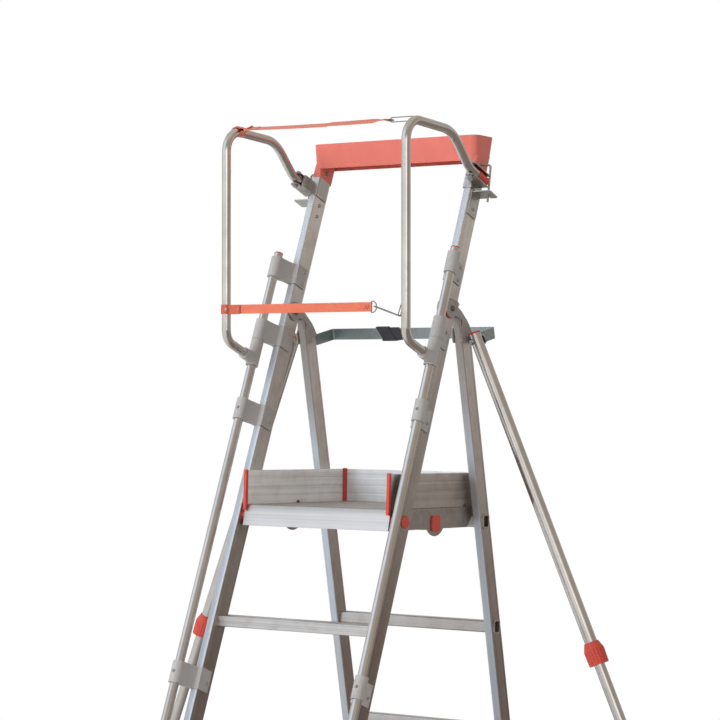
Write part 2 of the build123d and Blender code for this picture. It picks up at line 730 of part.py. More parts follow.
# Guard rails
tail_line = on_stile(0, rail_depth, guard_tail_level)
arm_line = on_stile(0, rail_depth, guard_arm_level)
guard_top = tail_line.Z + GUARD_RISE
guard_front = tail_line.Y - GUARD_REACH
guard_low_front = guard_front + GUARD_RAKE
guard_shoulder = tail_line.Y - SHOULDER_REACH
guard_bends = (ARM_BEND, FRONT_BEND, SHOULDER_BEND, TAIL_BEND)
back_slope = tan(radians(STILE_LEAN))
arm_corner_z = arm_line.Z + (arm_line.Y - guard_low_front) * back_slope
descent = tan(radians(GUARD_DESCENT))
shoulder_z = guard_top - GUARD_FALL
shoulder_run = (shoulder_z - tail_line.Z - SHOULDER_REACH * back_slope) / (descent - back_slope)


def rail_route(x):
    """Centre line of a guard rail: arm, upright, top run, shoulder and tail."""
    return (
        on_stile(x, rail_depth - ARM_SEAT, guard_arm_level),
        (x, guard_low_front, arm_corner_z),
        (x, guard_front, guard_top),
        (x, guard_shoulder, shoulder_z),
        (x, guard_shoulder + shoulder_run, shoulder_z - shoulder_run * descent),
        on_stile(x, TAIL_END - TAIL_SLEEVE_END, guard_tail_level),
    )


for side, name in SIDES:
    x = side * RAIL_X
    with BuildPart() as guard_rail:
        add(bent_tube(rail_route(x), guard_bends, tube_radius, TUBE_WALL))
        bolt_bore = Plane(origin=on_stile(x, rail_depth, guard_tail_level - tube_radius), z_dir=stile_up)
        cross_bore(bolt_bore, [(0, 0)], GUARD_BOLT + 2 * PIVOT_CLEARANCE, TUBE_DIAMETER)
    save(guard_rail.part, f"{name}_guard_rail")

    with BuildPart() as sleeve:
        sleeve_start = on_stile(x, TAIL_END - TAIL_SLEEVE_LENGTH, guard_tail_level)
        stile_back = stile_side(0).x_dir
        with BuildSketch(Plane(origin=sleeve_start, z_dir=stile_back)):
            Circle(tail_radius)
            Circle(tube_radius, mode=Mode.SUBTRACT)
        extrude(amount=TAIL_SLEEVE_LENGTH - TAIL_SLEEVE_END)
        tail_face = on_stile(x, TAIL_END - TAIL_SLEEVE_END, guard_tail_level)
        with BuildSketch(Plane(origin=tail_face, z_dir=stile_back)):
            Circle(tail_radius)
        extrude(amount=TAIL_SLEEVE_END)
    save(sleeve.part, f"{name}_rail_sleeve")

    with BuildPart() as swivel:
        with BuildSketch(stile_section(collar_bottom)):
            with Locations((x, rail_depth)):
                Circle(tube_radius + BOSS_WALL)
        extrude(amount=collar_top - collar_bottom)
        with BuildSketch(Plane(origin=on_stile(x, rail_depth, guard_arm_level), z_dir=-stile_back)):
            Circle(tube_radius + STUB_WALL)
        extrude(amount=COLLAR_STUB)
        arm_seat = on_stile(x, rail_depth - ARM_SEAT, guard_arm_level)
        with BuildSketch(Plane(origin=arm_seat, z_dir=-stile_back)):
            Circle(tube_radius)
        extrude(amount=COLLAR_STUB, mode=Mode.SUBTRACT)
        with BuildSketch(stile_section(collar_bottom)):
            with Locations((x, rail_depth)):
                Circle(tube_radius + SWIVEL_CLEARANCE)
        extrude(amount=collar_top - collar_bottom, mode=Mode.SUBTRACT)
    save(swivel.part, f"{name}_swivel_collar")

# Straps: webbing that loops round the left rail and ends in a fold round its ring
loop_inner = tube_radius + STRAP_PLAY
loop_outer = loop_inner + STRAP_SHEET
fold_inner = hypot(RING_WIRE / 2, RING_WIRE / 2) + RING_PLAY
fold_outer = fold_inner + STRAP_SHEET
upper_strap_y = guard_front + UPPER_STRAP_BACK
upper_loop_z = guard_top - GUARD_FALL * UPPER_STRAP_BACK / (guard_shoulder - guard_front)
upper_strap_z = upper_loop_z + UPPER_STRAP_LIFT
lower_strap_z = guard_top - LOWER_STRAP_DROP
upright_lean = GUARD_RAKE / (guard_top - arm_corner_z)
lower_strap_y = guard_front + LOWER_STRAP_DROP * upright_lean


def strap_profile(loop, run):
    """Side view of a strap: a loop round the rail at -RAIL_X, a straight run and a fold at the ring."""
    with Locations((-RAIL_X, loop)):
        Circle(loop_outer)
    with Locations((RING_X, run)):
        Circle(fold_outer)
    with Locations(((RING_X - RAIL_X) / 2, run)):
        Rectangle(RING_X + RAIL_X, STRAP_SHEET)
    with Locations((-RAIL_X, loop)):
        Circle(loop_inner, mode=Mode.SUBTRACT)
    with Locations((RING_X, run)):
        Circle(fold_inner, mode=Mode.SUBTRACT)


with BuildPart() as upper_strap:
    with BuildSketch(Plane.XZ.offset(-upper_strap_y - STRAP_WIDTH / 2)):
        strap_profile(upper_loop_z, upper_strap_z)
    extrude(amount=STRAP_WIDTH)
save(upper_strap.part, "upper_strap")

with BuildPart() as lower_strap:
    with BuildSketch(Plane.XY.offset(lower_strap_z - STRAP_WIDTH / 2)):
        strap_profile(lower_strap_y, lower_strap_y)
    extrude(amount=STRAP_WIDTH)
save(lower_strap.part, "lower_strap")

# Strap hardware on the right rail: rings, eyes on the tube, and snap hooks with their gates
ring_start = RING_X - RING_WIRE / 2
ring_end = ring_start + RING_DEPTH
eye_x = RAIL_X - tube_radius - EYE_STEM - EYE_RADIUS
strap_planes = (
    (Plane(origin=(0, upper_strap_y, upper_strap_z), x_dir=(1, 0, 0), z_dir=(0, 0, 1)), 0, "upper"),
    (Plane(origin=(0, lower_strap_y, lower_strap_z), x_dir=(1, 0, 0), z_dir=(0, -1, 0)), EYE_HANG, "lower"),
)
with BuildPart() as strap_rings:
    for flat, hang, name in strap_planes:
        with BuildSketch(flat.offset(-RING_WIRE / 2)):
            with Locations((ring_start + RING_DEPTH / 2, 0)):
                RectangleRounded(RING_DEPTH, STRAP_WIDTH + 4 * RING_WIRE, RING_CORNER)
                RectangleRounded(
                    RING_DEPTH - 2 * RING_WIRE, STRAP_WIDTH + 2 * RING_WIRE, RING_WIRE, mode=Mode.SUBTRACT
                )
        extrude(amount=RING_WIRE)
        with BuildSketch(flat.offset(-HOOK_WIRE / 2)):
            eye_height = hang + 2 * EYE_RADIUS
            with Locations((eye_x, -hang / 2)):
                RectangleRounded(2 * EYE_RADIUS, eye_height, EYE_RADIUS - EYE_ROUNDING)
            with Locations((RAIL_X - EYE_STEM - tube_radius, 0)):
                Rectangle(2 * EYE_STEM + tube_radius, HOOK_WIRE)
            with Locations((eye_x, -hang / 2)):
                RectangleRounded(
                    2 * (EYE_RADIUS - HOOK_WIRE), eye_height - 2 * HOOK_WIRE,
                    EYE_RADIUS - HOOK_WIRE - EYE_ROUNDING, mode=Mode.SUBTRACT
                )
        extrude(amount=HOOK_WIRE)
    add(bent_tube(rail_route(RAIL_X), guard_bends, tube_radius, 0), mode=Mode.SUBTRACT)
save(strap_rings.part, "strap_rings")

ring_wire_x = ring_end - RING_WIRE / 2
eye_wire_x = eye_x - EYE_RADIUS + HOOK_WIRE / 2


def hook_frame(flat, hang):
    """Plane of a snap hook, centred between the ring's wire and the eye's wire, and the hook's length."""
    ring_wire = flat.origin + flat.x_dir * ring_wire_x
    eye_wire = flat.origin + flat.x_dir * eye_wire_x - flat.y_dir * hang
    run = eye_wire - ring_wire
    along = run.normalized()
    length = run.length + (RING_WIRE + HOOK_WIRE) / 2 + 2 * (HOOK_PLAY + HOOK_WIRE)
    middle = ring_wire + run / 2 + along * ((HOOK_WIRE - RING_WIRE) / 4)
    return Plane(origin=middle, x_dir=along, z_dir=flat.z_dir.cross(along)), length


with BuildPart() as strap_hooks:
    for flat, hang, name in strap_planes:
        upright, length = hook_frame(flat, hang)
        with BuildSketch(upright.offset(-HOOK_SHEET / 2)):
            RectangleRounded(length, HOOK_WIDTH, HOOK_CORNER)
            RectangleRounded(
                length - 2 * HOOK_WIRE, HOOK_WIDTH - 2 * HOOK_WIRE, HOOK_BAY_CORNER, mode=Mode.SUBTRACT
            )
            with Locations((length / 2 - (HOOK_WIDTH + GATE_LENGTH) / 2, HOOK_WIDTH / 2)):
                Rectangle(GATE_LENGTH, HOOK_WIDTH / 2, mode=Mode.SUBTRACT)
        extrude(amount=HOOK_SHEET)
save(strap_hooks.part, "strap_hooks")

for flat, hang, name in strap_planes:
    upright, length = hook_frame(flat, hang)
    gate_x = length / 2 - (HOOK_WIDTH + GATE_LENGTH) / 2
    gate_y = (HOOK_WIDTH - HOOK_WIRE) / 2
    with BuildPart() as gate:
        with BuildSketch(upright.offset(-HOOK_SHEET / 2)):
            with Locations((gate_x, gate_y)):
                Rectangle(GATE_LENGTH - 2 * GATE_PLAY, GATE_WIRE)
        extrude(amount=HOOK_SHEET)
    save(gate.part, f"{name}_hook_gate")
    gate_hinge = upright.origin + upright.x_dir * (gate_x - GATE_LENGTH / 2 + GATE_PLAY + GATE_WIRE / 2)
    print(name, "gate hinge", gate_hinge + upright.y_dir * gate_y, "axis", upright.z_dir)

# Rear legs, rungs and shoes
rung_levels = []
for number in range(RUNG_COUNT):
    rung_z = platform_height - RUNG_SEAT_DROP - RUNG_SEAT_GAP - RUNG_HEIGHT / 2 - number * RUNG_RISE
    rung_levels.append(rung_z / cos(radians(leg_lean)))
rung_spots = [on_leg(0, 0, level) for level in rung_levels]


def rung_outline(grow):
    for spot in rung_spots:
        with Locations((spot.Y, spot.Z)):
            RectangleRounded(RUNG_WIDTH + 2 * grow, RUNG_HEIGHT + 2 * grow, RUNG_CORNER + grow)


leg_front = -LEG_DEPTH / 2
leg_rear = LEG_DEPTH / 2
leg_cut = Plane(
    origin=on_leg(0, leg_front + LEG_TOP_FLAT, leg_top),
    x_dir=(1, 0, 0),
    z_dir=leg_side(0).x_dir * (LEG_REAR_DROP - LEG_TOP_DROP)
    + leg_section(0).z_dir * (LEG_DEPTH - LEG_TOP_FLAT),
)


def leg_body(side):
    """Outside of a rear leg with its slanted top, used to seat what grips it."""
    with BuildPart() as body:
        add(member_body(leg_section, side * stile_x, LEG_WIDTH, LEG_DEPTH, leg_top))
        split(bisect_by=leg_cut, keep=Keep.BOTTOM)
    return body.part


for side, name in SIDES:
    with BuildPart() as leg:
        with BuildSketch(leg_section(-LEG_DEPTH)):
            grooved_box(side * stile_x, LEG_WIDTH, LEG_DEPTH)
        extrude(amount=leg_top + LEG_DEPTH)
        split(bisect_by=Plane.XY.offset(SOLE), keep=Keep.TOP)
        split(bisect_by=leg_cut, keep=Keep.BOTTOM)
        with BuildSketch(Plane.YZ.offset(x_start(side, leg_inner, leg_outer))):
            rung_outline(0)
        extrude(amount=LEG_WIDTH, mode=Mode.SUBTRACT)
    save(leg.part, f"{name}_rear_leg")

with BuildPart() as rungs:
    with BuildSketch(Plane.YZ.offset(-leg_outer)):
        rung_outline(0)
    extrude(amount=2 * leg_outer)
    for side, name in SIDES:
        with BuildSketch(Plane.YZ.offset(x_start(side, leg_outer, leg_outer + RUNG_FLARE_WIDTH))):
            rung_outline(RUNG_FLARE)
        extrude(amount=RUNG_FLARE_WIDTH)
    rung_reach = leg_outer + RUNG_FLARE_WIDTH
    with BuildSketch(Plane.YZ.offset(-rung_reach)):
        rung_outline(-RUNG_WALL)
    extrude(amount=2 * rung_reach, mode=Mode.SUBTRACT)
save(rungs.part, "rear_rungs")

with BuildPart() as rear_feet:
    for side, name in SIDES:
        shoe(leg_section, side * stile_x, LEG_WIDTH, LEG_DEPTH)
    split(bisect_by=Plane.XY, keep=Keep.TOP)
    for side, name in SIDES:
        add(leg_body(side), mode=Mode.SUBTRACT)
save(rear_feet.part, "rear_feet")

# Hinge forks: moulded cheeks each side of the stile, joined over the top and rear of the leg
disc_radius = HINGE_DISC / 2
cheek_outer = leg_outer + CHEEK
cheek_inner = leg_inner - CHEEK


def fork_points(profile):
    """Points given behind and above the hinge, in a leg's side view."""
    return [(back - leg_back_of_hinge, leg_hinge_level + rise) for back, rise in profile]


fork_outline = (
    fork_points(FORK_CROWN)
    + fork_points(FORK_BACK)
    + [
        (leg_rear + FORK_REAR_WALL, leg_hinge_level - FORK_SKIRT),
        (0, leg_hinge_level - FORK_SKIRT),
        (0, leg_hinge_level - FORK_LENGTH),
        (leg_front, leg_hinge_level - FORK_LENGTH),
    ]
    + fork_points(FORK_THROAT)
)
for side, name in SIDES:
    with BuildPart() as fork:
        with BuildSketch(leg_side(x_start(side, cheek_inner, cheek_outer))):
            with Locations((-leg_back_of_hinge, leg_hinge_level)):
                Circle(disc_radius)
            Polygon(*fork_outline, align=None)
        extrude(amount=cheek_outer - cheek_inner)
        with BuildSketch(leg_side(x_start(side, leg_inner, leg_outer))):
            slot_rear = leg_front + LEG_TOP_FLAT
            ahead = leg_back_of_hinge + disc_radius + slot_rear
            with Locations((slot_rear - ahead / 2, leg_hinge_level)):
                Rectangle(ahead, 2 * FORK_LENGTH + HINGE_DISC)
        extrude(amount=LEG_WIDTH, mode=Mode.SUBTRACT)
        add(leg_body(side), mode=Mode.SUBTRACT)
        fork_bore = leg_side(x_start(side, cheek_inner, cheek_outer))
        cross_bore(
            fork_bore, [(-leg_back_of_hinge, leg_hinge_level)],
            HINGE_BOLT + 2 * HINGE_PLAY, cheek_outer - cheek_inner
        )
    save(fork.part, f"{name}_hinge_fork")

with BuildPart() as hinge_bolts:
    for side, name in SIDES:
        inner_seat = Vector(side * (cheek_inner - SWIVEL_CLEARANCE), hinge_point.Y, hinge_point.Z)
        outer_seat = Vector(side * (cheek_outer + SWIVEL_CLEARANCE), hinge_point.Y, hinge_point.Z)
        with BuildSketch(Plane(origin=inner_seat, z_dir=(side, 0, 0))):
            Circle(HINGE_BOLT / 2)
        extrude(amount=(outer_seat - inner_seat).length)
        button_head(outer_seat, (side, 0, 0), BOLT_HEAD, BOLT_HEAD_HEIGHT)
        hex_head(inner_seat, (-side, 0, 0), BOLT_HEAD, BOLT_HEAD_HEIGHT)
save(hinge_bolts.part, "hinge_bolts")

# Outrigger stance: pivot beside the leg, splayed sideways, folding in until parallel to the leg
outrigger_frames = {}
for side, name in SIDES:
    pivot = on_leg(side * OUTRIGGER_X, OUTRIGGER_BACK, OUTRIGGER_LEVEL)
    along = Vector(side * OUTRIGGER_SPLAY, OUTRIGGER_RAKE, -1).normalized()
    leg_down = leg_section(0).z_dir * -1
    axis = leg_down.cross(along).normalized() * -side
    outrigger_frames[name] = (pivot, along, axis)
outer_radius = OUTER_TUBE / 2
inner_radius = outer_radius - OUTER_WALL - INNER_CLEARANCE
ear_near = outer_radius + EAR_GAP

# Stow carrier: back wall, tapered arms on the legs and an angled ear for each outrigger
carrier_half = leg_outer + CARRIER_SHEET


def outrigger_ear(side, name):
    """Lug beside an outrigger's top, square to its pivot and reaching back to the carrier's arm."""
    pivot, along, axis = outrigger_frames[name]
    outward = (Vector(side, 0, 0) - axis * (side * axis.X)).normalized()
    ear_origin = pivot + axis * ear_near
    ear_reach = (abs(ear_origin.X) - carrier_half + CARRIER_SHEET / 2) / abs(outward.X)
    with BuildPart() as ear:
        with BuildSketch(Plane(origin=ear_origin, x_dir=outward, z_dir=axis)):
            Circle(EAR_RADIUS)
            with Locations((-ear_reach / 2, 0)):
                Rectangle(ear_reach, CARRIER_ARM_HEIGHT - CARRIER_SHEET)
            Circle(GUARD_BOLT / 2, mode=Mode.SUBTRACT)
        extrude(amount=EAR_SHEET)
    return ear.part


with BuildPart() as carrier:
    with BuildSketch(leg_section(CARRIER_LEVEL - CARRIER_HEIGHT)):
        with Locations((0, (CARRIER_START + CARRIER_DEPTH) / 2)):
            RectangleRounded(2 * carrier_half, CARRIER_DEPTH - CARRIER_START, 3 * CARRIER_SHEET)
            RectangleRounded(
                2 * leg_outer, CARRIER_DEPTH - CARRIER_START - 2 * CARRIER_SHEET, 2 * CARRIER_SHEET,
                mode=Mode.SUBTRACT
            )
        with Locations((0, CARRIER_START)):
            Rectangle(4 * carrier_half, 6 * CARRIER_SHEET, mode=Mode.SUBTRACT)
    extrude(amount=CARRIER_HEIGHT)
    with BuildSketch(leg_side(-carrier_half)):
        Polygon(
            (0, CARRIER_LEVEL - CARRIER_HEIGHT * 2),
            (0, CARRIER_LEVEL - CARRIER_ARM_HEIGHT),
            (leg_rear, CARRIER_LEVEL - CARRIER_ARM_HEIGHT),
            (CARRIER_TAPER_END, CARRIER_LEVEL - CARRIER_HEIGHT),
            (CARRIER_TAPER_END, CARRIER_LEVEL - CARRIER_HEIGHT * 2),
            align=None,
        )
    extrude(amount=2 * carrier_half, mode=Mode.SUBTRACT)
    for side, name in SIDES:
        add(outrigger_ear(side, name))
save(carrier.part, "stow_carrier")

with BuildPart() as carrier_tie:
    tie_plane = leg_side(TIE_X - TIE_WIDTH / 2)
    with BuildSketch(tie_plane):
        with Locations((CARRIER_DEPTH - CARRIER_SHEET / 2, CARRIER_LEVEL - CARRIER_HEIGHT / 2)):
            RectangleRounded(CARRIER_SHEET + 2 * TIE_SHEET, CARRIER_HEIGHT + 2 * TIE_SHEET, TIE_SHEET)
            Rectangle(CARRIER_SHEET, CARRIER_HEIGHT, mode=Mode.SUBTRACT)
    extrude(amount=TIE_WIDTH)
save(carrier_tie.part, "carrier_tie")

with BuildPart() as rear_bolts:
    for side, name in SIDES:
        pivot, along, axis = outrigger_frames[name]
        near_seat = pivot - axis * (outer_radius + EAR_GAP)
        far_seat = pivot + axis * (ear_near + EAR_SHEET)
        with BuildSketch(Plane(origin=near_seat, z_dir=axis)):
            Circle(GUARD_BOLT / 2)
        extrude(amount=(far_seat - near_seat).length)
        button_head(near_seat, -axis, BOLT_HEAD, BOLT_HEAD_HEIGHT)
        hex_head(far_seat, axis, BOLT_HEAD, BOLT_HEAD_HEIGHT)
        arm_seat = on_leg(side * carrier_half, ARM_SCREW_BACK, CARRIER_LEVEL - CARRIER_ARM_HEIGHT / 2)
        button_head(arm_seat, (side, 0, 0), SCREW_HEAD, SCREW_HEAD_HEIGHT)
save(rear_bolts.part, "rear_bolts")

# Outriggers: outer tube, locking collar, sliding inner tube and rubber pad
for side, name in SIDES:
    pivot, along, axis = outrigger_frames[name]
    floor_run = pivot.Z / -along.Z

    with BuildPart() as outer:
        with BuildSketch(Plane(origin=pivot - along * OUTER_CROWN, z_dir=along)):
            Circle(outer_radius)
        extrude(amount=OUTER_CROWN + OUTER_LENGTH)
        with BuildSketch(Plane(origin=pivot - along * (OUTER_CROWN - OUTER_WALL), z_dir=along)):
            Circle(outer_radius - OUTER_WALL)
        extrude(amount=OUTER_CROWN + OUTER_LENGTH, mode=Mode.SUBTRACT)
        cross_bore(
            Plane(origin=pivot - axis * outer_radius, z_dir=axis), [(0, 0)],
            GUARD_BOLT + 2 * PIVOT_CLEARANCE, OUTER_TUBE
        )
    save(outer.part, f"{name}_outrigger_tube")

    with BuildPart() as lock_collar:
        collar_plane = Plane(origin=pivot + along * (OUTER_LENGTH - LOCK_COLLAR_GRIP), z_dir=along)
        with BuildSketch(collar_plane):
            Circle(LOCK_COLLAR_NECK)
        with BuildSketch(collar_plane.offset(SHOULDER_DROP)):
            Circle(LOCK_COLLAR_SHOULDER)
        with BuildSketch(collar_plane.offset(LOCK_COLLAR_LENGTH)):
            Circle(LOCK_COLLAR_SKIRT)
        loft(ruled=True)
        with BuildSketch(collar_plane.offset(LOCK_COLLAR_GRIP)):
            with PolarLocations(LOCK_COLLAR_SHOULDER, LOCK_COLLAR_RIBS):
                Circle(RIB_GROOVE)
        extrude(amount=LOCK_COLLAR_LENGTH, mode=Mode.SUBTRACT)
        with BuildSketch(collar_plane):
            Circle(outer_radius + SWIVEL_CLEARANCE)
        extrude(amount=LOCK_COLLAR_GRIP + SWIVEL_CLEARANCE, mode=Mode.SUBTRACT)
        with BuildSketch(collar_plane):
            Circle(inner_radius + INNER_CLEARANCE)
        extrude(amount=LOCK_COLLAR_LENGTH, mode=Mode.SUBTRACT)
    save(lock_collar.part, f"{name}_lock_collar")

    pad_start = floor_run - PAD_HEIGHT
    inner_end = floor_run - PAD_HEIGHT / 2
    with BuildPart() as inner_tube:
        inner_start = OUTER_LENGTH - INNER_OVERLAP
        with BuildSketch(Plane(origin=pivot + along * inner_start, z_dir=along)):
            Circle(inner_radius)
            Circle(inner_radius - INNER_WALL, mode=Mode.SUBTRACT)
        extrude(amount=inner_end - inner_start)
    save(inner_tube.part, f"{name}_outrigger_leg")

    with BuildPart() as pad:
        pad_plane = Plane(origin=pivot + along * pad_start, z_dir=along)
        with BuildSketch(pad_plane):
            Circle(inner_radius + SHOE_WALL)
        with BuildSketch(pad_plane.offset(PAD_HEIGHT + PAD_RADIUS)):
            Circle(PAD_RADIUS)
        loft()
        with BuildSketch(pad_plane):
            Circle(inner_radius)
        extrude(amount=inner_end - pad_start, mode=Mode.SUBTRACT)
        split(bisect_by=Plane.XY, keep=Keep.TOP)
    save(pad.part, f"{name}_outrigger_pad")

# Platform pan: folded sheet with a seat over the rear rung and an ear round the cross tube
pan_bottom = platform_height - PAN_DEPTH
deck_front = platform_front + NOSE_RAKE
cross_y = pivot_y + CROSS_BACK
cross_z = platform_height - CROSS_DROP
seat_spot = rung_spots[0]
seat_half = RUNG_WIDTH / 2 + RUNG_SEAT_GAP
seat_top = seat_spot.Z + RUNG_HEIGHT / 2 + RUNG_SEAT_GAP
with BuildPart() as pan:
    with BuildSketch(Plane.YZ.offset(-platform_half)):
        Polygon(
            (deck_front, platform_height), (platform_rear, platform_height),
            (platform_rear, pan_bottom), (platform_front, pan_bottom), align=None,
        )
        with Locations((cross_y, platform_height - EAR_DROP + EAR_ROUND)):
            Circle(EAR_ROUND)
        with Locations((cross_y, platform_height + EAR_ROUND)):
            Rectangle(PLATFORM_DEPTH, 2 * EAR_ROUND, mode=Mode.SUBTRACT)
    extrude(amount=PLATFORM_WIDTH)
    with BuildSketch(Plane.YZ.offset(-platform_half + PAN_SHEET)):
        Polygon(
            (deck_front + PAN_SHEET, platform_height - PAN_SHEET),
            (platform_rear - PAN_SHEET, platform_height - PAN_SHEET),
            (platform_rear - PAN_SHEET, platform_height - EAR_DROP),
            (platform_front + PAN_SHEET, platform_height - EAR_DROP),
            (platform_front + PAN_SHEET, pan_bottom),
            align=None,
        )
    extrude(amount=PLATFORM_WIDTH - 2 * PAN_SHEET, mode=Mode.SUBTRACT)
    with BuildSketch(Plane.YZ.offset(-platform_half)):
        Polygon(
            (seat_spot.Y - seat_half, seat_top), (seat_spot.Y + seat_half, seat_top),
            (seat_spot.Y + seat_half, pan_bottom),
            (seat_spot.Y - seat_half - SEAT_RELIEF * (seat_top - pan_bottom), pan_bottom),
            align=None,
        )
    extrude(amount=PLATFORM_WIDTH, mode=Mode.SUBTRACT)
    with BuildSketch(Plane.XY.offset(platform_height)):
        with Locations((0, (platform_front + platform_rear) / 2)):
            with GridLocations(PLATFORM_WIDTH, PLATFORM_DEPTH / (DECK_GROOVES + 1), 1, DECK_GROOVES):
                Rectangle(PLATFORM_WIDTH - 4 * TOE_END, GROOVE_WIDTH)
    extrude(amount=-GROOVE_DEPTH, mode=Mode.SUBTRACT)
    pivot_bore = PIVOT_TUBE + 2 * PIVOT_CLEARANCE
    cross_bore(Plane.YZ.offset(-platform_half), [(pivot_y, pivot_z)], pivot_bore, PLATFORM_WIDTH)
    with BuildSketch(Plane.YZ.offset(-platform_half)):
        with Locations((cross_y, cross_z)):
            RectangleRounded(CROSS_SIZE, CROSS_SIZE, CROSS_CORNER)
    extrude(amount=PLATFORM_WIDTH, mode=Mode.SUBTRACT)
save(pan.part, "platform_pan")

with BuildPart() as cross_tube:
    with BuildSketch(Plane.YZ.offset(-platform_half)):
        with Locations((cross_y, cross_z)):
            RectangleRounded(CROSS_SIZE, CROSS_SIZE, CROSS_CORNER)
            RectangleRounded(
                CROSS_SIZE - 2 * TUBE_WALL, CROSS_SIZE - 2 * TUBE_WALL,
                CROSS_CORNER - TUBE_WALL, mode=Mode.SUBTRACT
            )
    extrude(amount=PLATFORM_WIDTH)
save(cross_tube.part, "platform_cross_tube")

with BuildPart() as cross_plugs:
    for side, name in SIDES:
        with BuildSketch(Plane.YZ.offset(x_start(side, platform_half, platform_half + PIVOT_PLUG_HEIGHT))):
            with Locations((cross_y, cross_z)):
                RectangleRounded(CROSS_SIZE + 2 * PLUG_LIP, CROSS_SIZE + 2 * PLUG_LIP, CROSS_CORNER)
        extrude(amount=PIVOT_PLUG_HEIGHT)
        with BuildSketch(Plane.YZ.offset(x_start(side, platform_half - CAP_STEM, platform_half))):
            with Locations((cross_y, cross_z)):
                RectangleRounded(
                    CROSS_SIZE - 2 * TUBE_WALL, CROSS_SIZE - 2 * TUBE_WALL, CROSS_CORNER - TUBE_WALL
                )
        extrude(amount=CAP_STEM)
save(cross_plugs.part, "cross_tube_plugs")

# Toe boards: ridged extrusions on the deck, with end strips over the nose and strips in the rear corners
toe_top = platform_height + TOE_HEIGHT
toe_inner = platform_half - TOE_THICKNESS
board_front = deck_front
strip_top = toe_top + TOE_CAP_RISE
strip_foot = platform_height - TOE_END_DROP
nose_slope = NOSE_RAKE / PAN_DEPTH


def toe_profile(centre):
    """Section of a toe board with grooves along both faces."""
    with Locations((centre, (toe_top + platform_height) / 2)):
        RectangleRounded(TOE_THICKNESS, TOE_HEIGHT, TOE_EDGE)
        with GridLocations(TOE_THICKNESS, TOE_HEIGHT / (TOE_RIDGES + 1), 2, TOE_RIDGES):
            Rectangle(2 * GROOVE_DEPTH, 2 * GROOVE_WIDTH, mode=Mode.SUBTRACT)


for side, name in SIDES:
    with BuildPart() as toe_board:
        with BuildSketch(Plane.XZ.offset(-board_front)):
            toe_profile(side * (platform_half - TOE_THICKNESS / 2))
        extrude(amount=board_front - platform_rear)
        cross_bore(
            Plane.YZ.offset(x_start(side, toe_inner, platform_half)),
            [(board_front + TOE_NOTCH_BACKS[name], platform_height)], 2 * TOE_NOTCH, TOE_THICKNESS
        )
    save(toe_board.part, f"{name}_toe_board")

with BuildPart() as rear_board:
    with BuildSketch(Plane.YZ.offset(-toe_inner)):
        toe_profile(platform_rear - TOE_THICKNESS / 2)
    extrude(amount=2 * toe_inner)
save(rear_board.part, "rear_toe_board")

with BuildPart() as toe_corners:
    corner_y = platform_rear - TOE_THICKNESS
    for side, name in SIDES:
        with BuildSketch(Plane.XY.offset(platform_height)):
            Polygon(
                (side * toe_inner, corner_y), (side * (toe_inner - TOE_CORNER), corner_y),
                (side * toe_inner, corner_y - TOE_CORNER), align=None,
            )
        extrude(amount=TOE_HEIGHT + TOE_CAP_RISE)
        strip_width = TOE_THICKNESS + 2 * TOE_CAP_WALL
        strip_x = x_start(side, toe_inner - TOE_CAP_WALL, platform_half + TOE_CAP_WALL)
        with BuildSketch(Plane.YZ.offset(strip_x)):
            Polygon(
                (board_front, strip_top), (board_front - TOE_END, strip_top),
                (board_front - TOE_END - TOE_END_DROP * nose_slope, strip_foot),
                (board_front - TOE_END_DROP * nose_slope, strip_foot),
                (board_front, platform_height),
                align=None,
            )
        extrude(amount=strip_width)
save(toe_corners.part, "toe_board_corners")

print("fold angle", round(STILE_LEAN + leg_lean, 3), "leg lean", round(leg_lean, 3))
print("hinge", hinge_point, "platform pivot", round(pivot_y, 2), round(pivot_z, 2))
for side, name in SIDES:
    pivot, along, axis = outrigger_frames[name]
    leg_down = leg_section(0).z_dir * -1
    print(name, "outrigger pivot", pivot, "along", along, "axis", axis, "fold", along.get_angle(leg_down))
print("guard axis", on_stile(RAIL_X, rail_depth, guard_tail_level), stile_up)
print("rod axis", on_stile(ROD_X, ROD_BACK, rod_level))
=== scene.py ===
"""Folding platform ladder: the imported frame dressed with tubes, webbing, wire fittings and finishes.

Metres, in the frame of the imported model: X to the climber's right, Y to the rear, Z up.
"""
import json
from math import cos, pi, radians, sin, tan

import bmesh
import bpy
from mathutils import Matrix, Vector


